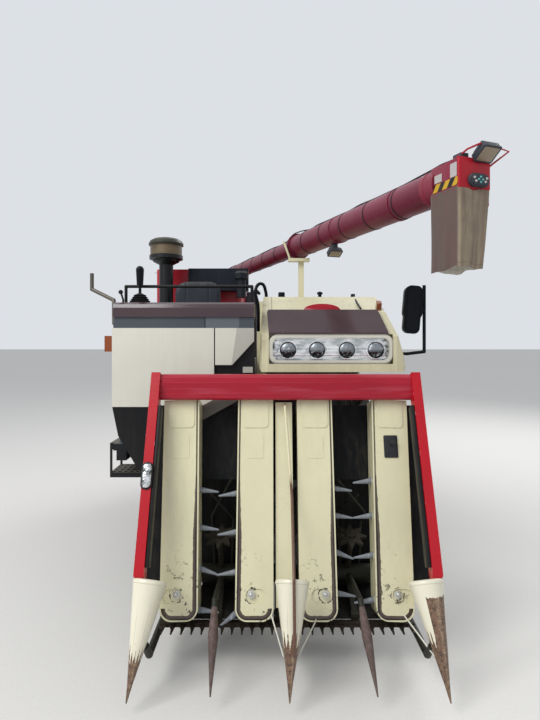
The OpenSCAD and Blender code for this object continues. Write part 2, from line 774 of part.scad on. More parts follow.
module headlight_cowl() {
    color(cream) difference() {
        cowl_form(0, 0);
        difference() {
            cowl_form(12, 1);
            // The wall behind the lamp unit
            block([lamp_x[0] - 20, -1300, lamp_z[0] - 20],
                [lamp_x[1] + 20, lamp_back_y + 12, lamp_z[1] + 10]);
        }
        block([lamp_x[0] - skin, -1300, lamp_z[0] - skin], [lamp_x[1] + skin, lamp_back_y, lamp_z[1] + skin]);
    }
}

module visor() {
    color(brown) intersection() {
        across(0, 800)
            polygon([[-1247, 1665.3], [-1247, 1676], visor_top, visor_top + [23, -14], [-1225.3, 1668.3],
                [-1228, 1665.3]]);
        deep(-1300, -1000)
            polygon([[45, 1650], [42, 1690], [32, 1806], [46, 1830], [712, 1830], [728, 1806], [760, 1690],
                [767, 1650]]);
    }
}

module headlight_unit() {
    w = lamp_x[1] - lamp_x[0];
    h = lamp_z[1] - lamp_z[0];
    x = lamp_x[0] + w / 2;
    z = lamp_z[0] + h / 2;
    color(off_white) difference() {
        union() {
            deep(lamp_front_y, lamp_back_y) translate([x, z]) round_rect(w, h, 55);
            deep(lamp_front_y - 8, lamp_front_y + 1) translate([x, z]) round_rect(w - 14, h - 14, 50);
        }
        deep(lamp_front_y - 20, lamp_back_y + 1) translate([x, z]) round_rect(w - lamp_rim, h - lamp_rim, 42);
    }
}

module headlight_reflector() {
    w = lamp_x[1] - lamp_x[0] - lamp_rim - 2 * skin;
    h = lamp_z[1] - lamp_z[0] - lamp_rim - 2 * skin;
    x = (lamp_x[0] + lamp_x[1]) / 2;
    z = (lamp_z[0] + lamp_z[1]) / 2;
    color(steel) {
        deep(lamp_back_y - 14, lamp_back_y) translate([x, z]) round_rect(w, h, 42 - skin);
        // Ribs across the reflector
        for (i = [-2 : 2]) deep(lamp_back_y - 19, lamp_back_y - 13)
            translate([x, z + i * 24]) square([w - 90 + 20 * (2 - abs(i)), 5], center = true);
        // The four round lamps, with a domed glass in each
        for (cx = lamp_centres_x) translate([cx, 0, 1570]) {
            deep(lamp_front_y + 4, lamp_back_y - 13) difference() {
                circle(58);
                circle(50);
            }
            intersection() {
                deep(lamp_front_y - 12, lamp_back_y - 13) circle(51);
                translate([0, lamp_front_y + 75, 0]) sphere(78);
            }
        }
    }
}

module mirror() {
    color(black) {
        bent_rod([[mirror_foot_x, -1150, 1546], [mirror_foot_x + 42, -1150, 1546], [980, -1240, 1560],
            [980, -1240, 1960]], 10);
        // The head, wider at its top
        deep(-1270, -1235) translate([905, 1812]) rotate(-5) {
            round_rect(100, 288, 34);
            translate([0, 40]) round_rect(116, 200, 40);
        }
        deep(-1278, -1269) translate([905, 1812]) rotate(-5) round_rect(74, 250, 30);
        block([950, -1250, 1800], [985, -1238, 1830]);
    }
}

module grab_rail() {
    color(steel) bent_rod([[cab_x0 + 7, -1150, 1735], [-915, -1150, 1735], [-925, -1120, 1880],
        [-1068, -1100, 1950],
        [-1068, -1100, 2050]], 12);
}

module turn_signals() {
    color("#D2691E") {
        block([cab_x0 - 45, cab_front_y + 2, 1560], [cab_x0, cab_front_y + 28, 1655]);
        translate([740, -1090, 1808]) rotate([atan2(bulkhead_z - 1808, 190), 0, 0])
            block([-15, 20, skin], [15, 60, 50]);
    }
}

module auger_rest() {
    saddle_z = auger_z - auger_r - 20;
    color(cream) {
        block([260, bulkhead_y[0], bulkhead_z], [300, bulkhead_y[1], saddle_z - 8]);
        block([185, bulkhead_y[0] - 40, saddle_z - 21], [340, bulkhead_y[1] - 10, saddle_z]);
        rod([202, bulkhead_y[0], saddle_z - 10], [152, bulkhead_y[0], 2362], 8);
    }
}

module auger_brackets() {
    color(slate) difference() {
        for (z = [deck_z, 1500]) {
            translate([auger_root[0], auger_root[1], z]) cylinder(h = 60, r = 110);
            block([auger_root[0] - 60, tank_y[1], z], [auger_root[0] + 60, auger_root[1], z + 60]);
        }
        translate([auger_root[0], auger_root[1], deck_z + 10]) cylinder(h = 1300, r = 75 + running);
    }
}

module auger_column() {
    color(maroon) translate([auger_root[0], auger_root[1], 0]) {
        translate([0, 0, deck_z + 12]) cylinder(h = 2185 - deck_z - 12, r = 75);
        translate([0, 0, 1561]) cylinder(h = 20, r = 100);
        rotate([0, 0, auger_turn]) {
            // Cheeks that hold the boom's pivot pin
            for (s = [-1, 1]) {
                translate([s * 80 - 8, 0, auger_z]) rotate([0, 90, 0]) cylinder(h = 16, r = 70);
                block([s * 80 - 8, -70, 2170], [s * 80 + 8, 70, auger_z]);
            }
            block([-88, -70, 2170], [88, 70, 2200]);
            translate([-80, 0, auger_z]) rotate([0, 90, 0]) cylinder(h = 160, r = auger_pin_r);
            // Ears for the lift cylinder
            for (s = [-1, 1]) block([s * 44 - 8, -auger_anchor[0] - 30, auger_anchor[1] - 40],
                [s * 44 + 8, -50, auger_anchor[1] + 40]);
            rod([-52, -auger_anchor[0], auger_anchor[1]], [52, -auger_anchor[0], auger_anchor[1]], ram_pin_r);
        }
    }
}

// The boom's own frame: -Y runs along the auger, and the origin is its pivot
module boom() {
    translate([auger_root[0], auger_root[1], auger_z]) rotate([0, 0, auger_turn]) children();
}

module auger_tube() {
    color(maroon) boom() difference() {
        union() {
            rod([0, -60, 0], [0, -flange_at, 0], auger_rear_r);
            rod([-70, 0, 0], [70, 0, 0], 66);
            rod([0, -flange_at, 0], [0, -auger_l + 150, 0], auger_r);
            // Flanges at the pivot's elbow and where the front tube begins
            rod([0, -flange_at + 14, 0], [0, -flange_at, 0], auger_r + 14);
            rod([0, -290, 0], [0, -262, 0], auger_rear_r + 16);
            // Bands round the front tube
            for (y = [1100, 440]) rod([0, y - auger_l, 0], [0, y - 24 - auger_l, 0], auger_r + 4);
            for (s = [-1, 1])
                block([s * 34 - 8, -auger_eye[0] - 45, auger_eye[1] - auger_z - 40],
                    [s * 34 + 8, -auger_eye[0] + 45, -auger_rear_r + 20]);
            rod([-40, -auger_eye[0], auger_eye[1] - auger_z], [40, -auger_eye[0], auger_eye[1] - auger_z], 6);
        }
        rod([-71, 0, 0], [71, 0, 0], auger_pin_r + running);
    }
}

module spout_box() {
    color(crimson) boom() {
        difference() {
            block([-95, -auger_l - 110, -130], [95, -auger_l + 150, 88]);
            block([-87, -auger_l - 102, -131], [87, -auger_l + 142, 80]);
        }
        // The rod that guards the work lamp
        translate([0, -auger_l, 0])
            bent_rod([[-75, -60, 84], [-75, -120, 130], [-25, -196, 158], [100, -200, 160], [150, -175, 125],
                [92, -106, 30]], 5);
    }
}

module spout_lamps() {
    color(slate) boom() translate([0, -auger_l, 0]) {
        // The work lamp over the spout, facing down and forwards
        translate([45, -144, 115]) rotate([-35, 0, 0]) {
            block([-62, -42, -18], [62, 42, 20]);
            block([-52, -34, 19], [52, 34, 31]);
            block([-40, -24, 30], [40, 24, 42]);
        }
        block([25, -112, 88 + skin], [65, -92, 104]);
        // The oval switch box on the spout's front
        deep(-138, -110 - skin) translate([23, -27]) round_rect(112, 62, 30.5);
        deep(-146, -137) translate([23, -27]) round_rect(96, 46, 22.5);
        // The clamp box on the top
        block([-60, -60, 88 + skin], [-20, -20, 124]);
    }
    // The work light under the tube
    color(slate) boom() translate([0, -2945, 0]) {
        block([-16, -20, -108], [16, 20, -auger_r - skin]);
        deep(-42, 42) translate([0, -132]) round_rect(96, 56, 16);
    }
}

module spout_sleeve() {
    color(cloth) boom() difference() {
        block([-103, -auger_l - 118, -420], [103, -auger_l + 158, -92]);
        block([-95.3, -auger_l - 110.3, -421], [95.3, -auger_l + 150.3, -91]);
    }
}

module divider_pipe(d, extra) {
    x = header_x + d[0];
    bent_rod([[x, cross_pipe_y, cross_pipe_z], [x, -1600, 160], [x, -1980, 160], [x, -2062, 245]],
        18 + extra);
}

module header_frame() {
    color(black) {
        rod([-30, hinge_y, hinge_z], [420, hinge_y, hinge_z], hinge_r);
        across(header_x - arm_w / 2, header_x + arm_w / 2)
            bent_strip([hinge_y, hinge_z], arm_knee, [cross_pipe_y, cross_pipe_z], arm_w);
        rod([header_x - rail_offset - 20, cross_pipe_y, cross_pipe_z],
            [header_x + rail_offset + 20, cross_pipe_y, cross_pipe_z], cross_pipe_r);
        // Ears for the lift cylinder
        for (s = [-1, 1]) across(header_x + s * 40 - 8, header_x + s * 40 + 8)
            translate(lift_eye) {
                circle(34);
                rotate(atan2(arm_knee[1] - cross_pipe_z, arm_knee[0] - cross_pipe_y))
                    translate([-34, 0]) square([68, 70]);
            }
        rod([header_x - 44, lift_eye[0], lift_eye[1]], [header_x + 44, lift_eye[0], lift_eye[1]], 13);
        // Pipes that carry the dividers
        for (d = big_dividers) divider_pipe(d, 0);
        for (d = small_divider_rows)
            bent_rod([[header_x + d[0], cross_pipe_y, cross_pipe_z], small_point(d, 0),
                small_point(d, small_seat) - skin * small_along(d)], small_pipe_r);
        // Brackets to the raking cases and to the strip between them
        for (i = [0 : len(cases) - 1]) raking_place(i) block([-30, case_d, 150], [30, 300, 210]);
        raking_frame(header_x + (guide_x[0] + guide_x[1]) / 2) block([-25, 60, 150], [25, 300, 210]);
        // Arms to the knife
        for (x = knife_arms_x)
            side_beam([cross_pipe_y, cross_pipe_z], [knife_y + 70, knife_z + 25], header_x + x, 30, 30);
        for (x = knife_arms_x)
            block([header_x + x - 20, knife_y + 40, knife_z],
                [header_x + x + 20, knife_y + 90, knife_z + 45]);
        // Thin rods that guide the stalks up the gaps
        for (g = stalk_rods)
            bent_rod([for (p = g[1]) [header_x + g[0] + p[0], p[1], p[2]]], 6);
    }
}

// A point along a small divider, from 0 at its top to 1 at its tip, and its direction
function small_point(d, part) = [header_x + d[0] + part * (d[1] - d[0]),
    small_top[0] + part * (small_tip[0] - small_top[0]), small_top[1] + part * (small_tip[1] - small_top[1])];
function small_along(d) =
    (small_point(d, 1) - small_point(d, 0)) / norm(small_point(d, 1) - small_point(d, 0));

// The raking cases' common frame: +Z runs up along the cases and +Y is their depth
module raking_frame(x) {
    translate([x, case_foot_y, case_foot_z]) rotate([-case_lean, 0, 0]) children();
}

module raking_place(i) {
    raking_frame(header_x + cases[i][0])
        rotate([0, atan((cases[i][1] - cases[i][0]) / case_l), 0])
            children();
}

// The front outline of a raking case, drawn in at its sides and its foot by an inset
module case_outline(inset) {
    w = case_w - 2 * inset;
    r = case_corner - inset;
    translate([-w / 2, case_corner]) square([w, case_l - case_corner]);
    translate([-w / 2 + r, inset]) square([w - 2 * r, r + 1]);
    for (s = [-1, 1]) translate([s * (w / 2 - r), case_corner]) circle(r);
}

// Half the case's width at a height above its foot
function case_edge(z) = z > case_corner ? case_w / 2
    : case_w / 2 - case_corner + sqrt(pow(case_corner, 2) - pow(case_corner - z, 2));

module raking_cases() {
    color(cream) for (i = [0 : len(cases) - 1]) raking_place(i) {
        side = cases[i][2][0];
        difference() {
            deep(0, case_d) case_outline(0);
            // The groove inside the lip, along the tines' side and round the foot
            deep(-1, groove_d) difference() {
                case_outline(case_lip);
                case_outline(case_lip + groove_w);
                translate([side > 0 ? -case_w : -case_w / 2 + case_corner, case_corner + 1])
                    square([case_w * 1.5 - case_corner, case_l]);
            }
            // The pocket round the bolt
            deep(-1, 6) translate([bolt_x[i] + (i % 2 == 0 ? -22 : 22), bolt_s]) round_rect(96, 66, 30);
        }
        deep(-4, 7) translate([bolt_x[i], bolt_s + 8]) circle(15);
        // The raised cap at the top and the small hatch under it
        deep(-4, 1) translate([0, cover_s]) round_rect(case_w - 50, 150, 22);
        deep(-2, 1) translate([0, hatch_s]) round_rect(88, 122, 8);
    }
}

module rake_tines() {
    color(tine_blue) for (i = [0 : len(cases) - 1]) raking_place(i)
        for (s = cases[i][2], z = tine_heights[i]) {
            rod([s * case_edge(z + 20 + tine_r), case_d / 2, z + 20],
                [s * (case_w / 2 + 8), case_d / 2, z + 20], tine_r);
            rod([s * (case_w / 2 + 5), case_d / 2, z + 20],
                [s * (case_w / 2 + tine_l), case_d / 2 - 20, z + 10], tine_r - 1, 5);
        }
}

module top_bar() {
    color(crimson) {
        across(bar_x[0], bar_x[1]) translate(bar_centre) polygon([
            [-bar_d / 2 + 14, -bar_h / 2], [-bar_d / 2 + 2, -bar_h / 2 + 10], [-bar_d / 2, -bar_h / 2 + 34],
            [-bar_d / 2 + 6, -bar_h / 2 + 38], [-bar_d / 2 + 4, bar_h / 2 - 44],
            [-bar_d / 2 + 10, bar_h / 2 - 40],
            [-bar_d / 2 + 14, bar_h / 2 - 16], [-bar_d / 2 + 34, bar_h / 2], [bar_d / 2 - 8, bar_h / 2],
            [bar_d / 2, bar_h / 2 - 12], [bar_d / 2, -bar_h / 2]]);
        // Plates that lie on the raking cases' tops
        for (i = [0 : len(cases) - 1]) raking_place(i) block([-35, -20, case_l], [35, case_d, case_l + 10]);
    }
}

module side_rails() {
    color(crimson) for (s = [-1, 1])
        side_beam(rail_top, rail_foot, header_x + s * rail_offset, rail_w, 70);
}

// The black strip on each rail's inner side, and the side lamp on one of them
module rail_trim() {
    u = (rail_foot - rail_top) / norm(rail_foot - rail_top);
    color(black) {
        for (s = [-1, 1])
            side_beam(rail_top + u * 180, rail_foot - u * 40,
                header_x + s * (rail_offset - rail_w / 2 - 9 - skin), 18, 56);
        p = rail_top + u * 400;
        translate([header_x - rail_offset, p[0], p[1]]) rotate([atan2(u[1], u[0]) - 180, 0, 0])
            translate([-30, -70, 35 + skin]) linear_extrude(30) translate([30, 70]) round_rect(52, 130, 24);
    }
}

module divider_cones() {
    color(cream) for (d = big_dividers) {
        rim = [header_x + d[0], cone_rim[0], cone_rim[1]];
        tip = [header_x + d[1], cone_tip[0], cone_tip[1]];
        u = (tip - rim) / norm(tip - rim);
        difference() {
            union() {
                rod(rim, rim + (tip - rim) * 0.82, cone_r, 15);
                // The rolled rim
                translate(rim) rotate([0, atan2(norm([u[0], u[1]]), u[2]), atan2(u[1], u[0])])
                    rotate_extrude() translate([cone_r - 8, 0]) circle(8);
            }
            rod(rim - u * 10, rim + (tip - rim) * 0.3, cone_r - 9, 46);
            divider_pipe(d, skin);
        }
        rod(rim + (tip - rim) * 0.81, tip, 15, 3);
    }
}

module small_dividers() {
    color(brown) for (d = small_divider_rows) {
        rod(small_point(d, small_seat), small_point(d, 0.4), small_pipe_r, 24);
        rod(small_point(d, 0.4), small_point(d, 1), 24, 3);
    }
}

module centre_guide() {
    color(cream) {
        raking_frame(header_x) block([guide_x[0], 20, 60], [guide_x[1], 60, case_l - 10]);
        raking_frame(header_x) bent_rod(guide_rod, guide_rod_r);
    }
}

module cutter_bar() {
    half = 2 * row_pitch - 60;
    pitch = 2 * (half - 20) / (finger_count - 1);
    color(steel) {
        block([header_x - half, knife_y, knife_z], [header_x + half, knife_y + 40, knife_z + 20]);
        // Fingers and, on top of them, the knife's blades
        for (i = [0 : finger_count - 1]) translate([header_x - half + 20 + i * pitch, knife_y, knife_z]) {
            linear_extrude(9) polygon([[-9, 1], [-3, -70], [3, -70], [9, 1]]);
            translate([0, 0, 10]) linear_extrude(5) polygon([[-20, 1], [-4, -45], [4, -45], [20, 1]]);
        }
    }
}

module star_wheels() {
    color(cream) for (x = star_offsets) {
        hub = [header_x + x, star_place[0], star_place[1]];
        down = [header_x + x, cross_pipe_y, cross_pipe_z] - hub;
        u = down / norm(down);
        translate(hub) rotate([0, acos(u[2]), 90]) linear_extrude(16) {
            circle(52);
            for (a = [0 : 45 : 315]) rotate(a) polygon([[40, -20], [86, 2], [84, 10], [40, 18]]);
        }
        rod(hub, hub + u * (norm(down) - cross_pipe_r - skin), 14);
        rod(hub - u * 14, hub + u, 26);
    }
}

module stalk_conveyor() {
    p = [60, -1500, 760];
    q = [680, -850, 1230];
    d = q - p;
    color(slate) {
        translate(p) rotate([0, atan2(norm([d[0], d[1]]), d[2]), atan2(d[1], d[0])]) {
            block([-30, -45, 0], [40, 45, norm(d)]);
            // The chain on top, with its lugs
            block([-44, -14, 20], [-29, 14, norm(d) - 20]);
            for (i = [0 : 15]) block([-86, -5, 40 + i * 60], [-43, 5, 50 + i * 60]);
        }
        // The stay to a raking case
        raking_place(2) block([-20, case_d + skin, 805], [20, 385, 840]);
    }
}

module header_cylinder_barrel() {
    color(black) {
        d = (lift_eye - lift_anchor) / norm(lift_eye - lift_anchor);
        a = [header_x, lift_anchor[0], lift_anchor[1]];
        u = [0, d[0], d[1]];
        difference() {
            union() {
                rod(a, a + u * 270, 32);
                rod([header_x - 34, a[1], a[2]], [header_x + 34, a[1], a[2]], 30);
            }
            rod(a + u * 50, a + u * 271, 20 + running);
        }
        rod([header_x - 52, a[1], a[2]], [header_x + 52, a[1], a[2]], 16);
    }
}

module header_cylinder_rod() {
    color(steel) {
        d = (lift_eye - lift_anchor) / norm(lift_eye - lift_anchor);
        a = [header_x, lift_anchor[0], lift_anchor[1]];
        u = [0, d[0], d[1]];
        l = norm(lift_eye - lift_anchor);
        difference() {
            union() {
                rod(a + u * 60, a + u * (l - 20), 20);
                rod(a + u * l - [22, 0, 0], a + u * l + [22, 0, 0], 30);
            }
            rod(a + u * l - [23, 0, 0], a + u * l + [23, 0, 0], 20);
        }
    }
}

module auger_cylinder_barrel() {
    color(black) boom() {
        a = [0, -auger_anchor[0], auger_anchor[1] - auger_z];
        b = [0, -auger_eye[0], auger_eye[1] - auger_z];
        u = (b - a) / norm(b - a);
        difference() {
            union() {
                rod(a, a + u * 400, 30);
                rod(a - [34, 0, 0], a + [34, 0, 0], 30);
            }
            rod(a + u * 60, a + u * 401, 18 + running);
            rod(a - [35, 0, 0], a + [35, 0, 0], ram_pin_r + running);
        }
    }
}

module auger_cylinder_rod() {
    color(steel) boom() {
        a = [0, -auger_anchor[0], auger_anchor[1] - auger_z];
        b = [0, -auger_eye[0], auger_eye[1] - auger_z];
        u = (b - a) / norm(b - a);
        difference() {
            union() {
                rod(a + u * 80, b - u * 20, 18);
                rod(b - [22, 0, 0], b + [22, 0, 0], 30);
            }
            rod(b - [23, 0, 0], b + [23, 0, 0], 20);
        }
    }
}

chassis_frame();
track_frames();
track_left();
track_right();
drive_sprockets();
transmission_case();
engine_block();
operator_platform();
front_panels();
console_band();
console_box();
lower_skirt();
side_console();
steering_lever();
control_levers();
seat_frame();
seat_cushions();
engine_hood();
pre_cleaner();
grain_tank();
air_duct();
threshing_housing();
threshing_drum();
feed_chain();
side_covers();
straw_cutter();
grain_elevator();
headlight_cowl();
visor();
headlight_unit();
headlight_reflector();
mirror();
grab_rail();
turn_signals();
auger_rest();
auger_brackets();
drum_cover();
feed_rail();
radiator_door();
header_frame();
raking_cases();
rake_tines();
top_bar();
side_rails();
divider_cones();
small_dividers();
rail_trim();
centre_guide();
cutter_bar();
star_wheels();
stalk_conveyor();
header_cylinder_barrel();
header_cylinder_rod();
auger_column();
auger_tube();
spout_box();
spout_sleeve();
auger_cylinder_barrel();
auger_cylinder_rod();
spout_lamps();
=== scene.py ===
# %% [markdown]
# A rice combine seen from straight ahead: four leaning raking cases with divider cones at their feet,
# an operator's station, a lamp cowl, a grain tank and an unloading auger with a cloth sleeve.
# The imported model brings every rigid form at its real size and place. What is left to do here is what
# makes it look like the real machine: the paint and its wear, the soft parts, the glass and the fittings.

import math

import bpy
from mathutils import Matrix, Vector


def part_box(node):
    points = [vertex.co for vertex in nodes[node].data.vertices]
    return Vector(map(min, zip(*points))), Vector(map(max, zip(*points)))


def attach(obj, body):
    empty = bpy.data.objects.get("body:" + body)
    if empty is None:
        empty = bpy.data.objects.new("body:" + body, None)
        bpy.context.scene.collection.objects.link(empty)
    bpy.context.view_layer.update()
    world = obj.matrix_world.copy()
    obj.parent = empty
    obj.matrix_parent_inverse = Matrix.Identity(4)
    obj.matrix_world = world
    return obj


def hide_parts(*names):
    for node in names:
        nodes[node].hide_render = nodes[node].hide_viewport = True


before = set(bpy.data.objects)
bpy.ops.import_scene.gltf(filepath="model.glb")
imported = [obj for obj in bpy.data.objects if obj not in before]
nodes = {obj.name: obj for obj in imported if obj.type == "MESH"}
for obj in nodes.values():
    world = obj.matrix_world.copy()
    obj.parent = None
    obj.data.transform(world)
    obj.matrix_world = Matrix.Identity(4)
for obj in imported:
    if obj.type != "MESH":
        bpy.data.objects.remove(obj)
bpy.context.scene.view_settings.view_transform = "Standard"
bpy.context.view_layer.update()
bpy.ops.object.select_all(action="DESELECT")

# %% [markdown]
# The camera stands where the photographer's phone was: 4.5 m in front of the machine and 1.6 m high.
# The phone was level, and the horizon lies a little over the middle of the picture, so the lens is shifted
# by those few pixels. That keeps upright things upright, as tilting the camera wouldn't.

# %% The camera
WIDTH_PX, HEIGHT_PX = 540, 720
FOCAL_PX, SENSOR_MM = 541, 36
HORIZON_ROW = 345
EYE = Vector((0.051, -4.5, 1.6))

lens = bpy.data.cameras.new("front_lens")
lens.sensor_fit = "HORIZONTAL"
lens.sensor_width = SENSOR_MM
lens.lens = SENSOR_MM * FOCAL_PX / WIDTH_PX
lens.shift_y = (HORIZON_ROW - HEIGHT_PX / 2) / WIDTH_PX
lens.clip_end = 200
camera = bpy.data.objects.new("front_camera", lens)
camera.location = EYE
camera.rotation_euler = (math.radians(90), 0, 0)
bpy.context.scene.collection.objects.link(camera)
bpy.context.scene.camera = camera
print("camera", tuple(camera.location), "lens", round(lens.lens, 2), "shift", round(lens.shift_y, 4))


# %% [markdown]
# A colour is easiest to judge as a paint card gives it, #RRGGBB. Blender works with linear light, so each
# colour goes through the screen's curve once, here, and nowhere else.

# %% Colours as on a paint card
def paint(code, share=1.0):
    """The linear colour of a #RRGGBB code, made darker or lighter by a share."""
    parts = [int(code[i:i + 2], 16) / 255 for i in (1, 3, 5)]
    light = [c / 12.92 if c <= 0.04045 else ((c + 0.055) / 1.055) ** 2.4 for c in parts]
    return [min(1.0, c * share) for c in light] + [1.0]


CREAM = "#D3CDAA"
PANEL_WHITE = "#CFCDC0"
CRIMSON = "#A0142A"
RAIL_RED = "#AE0018"
MAROON = "#66182F"
BROWN = "#45353A"
SLATE = "#454B52"
BLACK = "#17191C"
print("cream in linear light", [round(c, 3) for c in paint(CREAM)])


# %% [markdown]
# A material is a small drawing made of nodes. A wire is what one node puts out, and arithmetic on wires
# adds the Math nodes for it, so that a material reads like a recipe further on.

# %% Helpers for materials
def feed(socket, value):
    """Links a wire or an output to a socket, or sets the socket's own value."""
    value = getattr(value, "socket", value)
    if isinstance(value, bpy.types.NodeSocket):
        socket.id_data.links.new(value, socket)
    else:
        socket.default_value = value


def operator(operation, swapped=False):
    """A method of Wire that adds one kind of Math node."""
    def method(self, other=0.0):
        return self.calculated(operation, *((other, self) if swapped else (self, other)))
    return method


class Wire:
    """What a node puts out. Arithmetic on a wire adds Math nodes to its tree."""

    def __init__(self, socket):
        self.socket, self.tree = socket, socket.id_data

    def calculated(self, operation, *terms):
        node = self.tree.nodes.new("ShaderNodeMath")
        node.operation = operation
        for socket, term in zip(node.inputs, terms):
            feed(socket, term)
        return Wire(node.outputs[0])

    def clamped(self):
        self.socket.node.use_clamp = True
        return self

    __add__, __radd__ = operator("ADD"), operator("ADD", True)
    __sub__, __rsub__ = operator("SUBTRACT"), operator("SUBTRACT", True)
    __mul__, __rmul__ = operator("MULTIPLY"), operator("MULTIPLY", True)
    __truediv__, __abs__ = operator("DIVIDE"), operator("ABSOLUTE")
    __lt__, __gt__ = operator("LESS_THAN"), operator("GREATER_THAN")
    least, most = operator("MINIMUM"), operator("MAXIMUM")
    root, fraction = operator("SQRT"), operator("FRACT")
    pingpong, angle_over = operator("PINGPONG"), operator("ARCTAN2")


def new_node(tree, kind, **values):
    """A shader node with some of its inputs set. Their names are written like from_min."""
    node = tree.nodes.new("ShaderNode" + kind)
    for label, value in values.items():
        feed(node.inputs[label.replace("_", " ").title()], value)
    return node


def mixed(share, first, second):
    """The first colour where the share is 0 and the second where it is 1."""
    node = share.tree.nodes.new("ShaderNodeMix")
    node.data_type = "RGBA"
    for number, value in ((0, share), (6, first), (7, second)):
        feed(node.inputs[number], value)
    return node.outputs[2]


def step_up(value, low, high):
    """0 below low, 1 above high, and a straight slope between."""
    return Wire(new_node(value.tree, "MapRange", value=value, from_min=low,
                         from_max=high).outputs["Result"])


def noise(place, scale, detail=3.0, roughness=0.55, stretch=None):
    """A noise from 0 to 1, drawn out along the axes if it is given a stretch."""
    if stretch is not None:
        place = Wire(new_node(place.tree, "Mapping", vector=place, scale=stretch).outputs["Vector"])
    return Wire(new_node(place.tree, "TexNoise", vector=place, scale=scale, detail=detail,
                         roughness=roughness).outputs["Fac"])


def axis_of(place, axis):
    """The X, Y or Z of a place."""
    return Wire(new_node(place.tree, "SeparateXYZ", vector=place).outputs[axis])


def measured(place, operation, other):
    """A place's dot product with another vector, or its distance from one."""
    node = place.tree.nodes.new("ShaderNodeVectorMath")
    node.operation = operation
    feed(node.inputs[0], place)
    feed(node.inputs[1], other)
    return Wire(node.outputs["Value"])


def along_way(place, way, start):
    """How far a point lies from a start along any direction, in metres."""
    return measured(place, "DOT_PRODUCT", way) - start.dot(way)


def bumpy(shader, height, strength, distance):
    """Gives a shader a relief from a height, over a distance in metres."""
    relief = new_node(height.tree, "Bump", strength=strength, distance=distance, height=height)
    feed(shader.inputs["Normal"], relief.outputs["Normal"])


def new_group(name, output, **numbers):
    """An empty node group of a place and some numbers: the group, its wires in and its socket out."""
    group = bpy.data.node_groups.new(name, "ShaderNodeTree")
    group.interface.new_socket("Place", in_out="INPUT", socket_type="NodeSocketVector")
    for label, value in numbers.items():
        socket = group.interface.new_socket(label.title(), in_out="INPUT", socket_type="NodeSocketFloat")
        socket.default_value = value
    group.interface.new_socket(output, in_out="OUTPUT", socket_type="NodeSocketFloat")
    given = group.nodes.new("NodeGroupInput").outputs
    wires = [Wire(given[number]) for number in range(1 + len(numbers))]
    return group, wires, group.nodes.new("NodeGroupOutput").inputs[0]


def placed(group, place, **values):
    """A group's output in the place's own material, with its values."""
    node = place.tree.nodes.new("ShaderNodeGroup")
    node.node_tree = group
    for label, value in {"place": place, **values}.items():
        feed(node.inputs[label.title()], value)
    return Wire(node.outputs[0])


# %% [markdown]
# Paint on a working machine fails in four ways, and each is one shared effect here. It chips in small
# islands, it wears through along edges, rain draws dirt down the sides in streaks, and dust settles on
# whatever faces up and on everything near the ground. The recipe below adds the grain of sprayed paint.

# %% Effect: chips
chips, (place, scale, amount), mask = new_group("paint_chips", "Mask", scale=30.0, amount=0.3)
level = 0.86 - amount * 0.32 - noise(place, 3.1, 2.0, 0.5) * 0.16
feed(mask, step_up(noise(place, scale, 4.0, 0.7), level, level + 0.025))

# %% Effect: worn edges
edges, (place, width, amount), mask = new_group("worn_edges", "Mask", width=0.004, amount=0.3)
rounded = new_node(edges, "Bevel", radius=width)
rounded.samples = 4
agree = measured(Wire(rounded.outputs["Normal"]), "DOT_PRODUCT",
                 new_node(edges, "NewGeometry").outputs["Normal"])
limit = 0.75 - amount * 0.5
patch = step_up(noise(place, 26.0, 5.0, 0.65), limit, limit + 0.06)
feed(mask, step_up(1.0 - agree, 0.02, 0.12) * patch)

# %% Effects: streaks and dust
streaks, (place, amount), mask = new_group("rain_streaks", "Mask", amount=0.3)
fine = noise(place, 34.0, 3.0, 0.6, (1.0, 1.0, 0.06))
wide = noise(place, 5.0, 3.0, 0.6, (1.0, 1.0, 0.3))
feed(mask, step_up(fine, 0.42, 0.7) * step_up(wide, 0.35, 0.75) * amount)

dust, (place, height, amount), mask = new_group("settled_dust", "Mask", height=0.9, amount=0.3)
facing = Wire(new_node(dust, "NewGeometry").outputs["Normal"])
upward = step_up(axis_of(facing, "Z"), 0.25, 0.95)
low = 1.0 - step_up(axis_of(place, "Z"), 0.0, height)
cloud = step_up(noise(place, 7.0, 6.0, 0.7), 0.3, 0.72)
feed(mask, (upward.most(low * 0.8) * (0.35 + cloud * 0.65) * amount).clamped())
print("effects", [group.name for group in bpy.data.node_groups])


# %% [markdown]
# Nearly every sheet and casting on the machine is paint over steel or a moulded plastic, so one recipe
# makes them all, with its own values for each finish: the colour, how far it has faded in clouds, the
# chips, the bare edges, the streaks and the dust. A zone can replace the colour in one part of a node.

# %% The recipe for paint and plastic
def shader_of(name):
    """A new material with its shader and the place on the piece."""
    material = bpy.data.materials.new(name)
    material.use_nodes = True
    tree = material.node_tree
    shader = next(node for node in tree.nodes if node.type == "BSDF_PRINCIPLED")
    return material, shader, Wire(new_node(tree, "TexCoord").outputs["Object"])


def constants(shader, **values):
    """Sets the shader's own sockets to one value each."""
    for label, value in values.items():
        shader.inputs[label.replace("_", " ").title().replace("Ior", "IOR")].default_value = value


def dress(material, *names):
    """Gives carried-over nodes their finish."""
    for name in names:
        slots = nodes[name].data.materials
        slots.clear()
        slots.append(material)


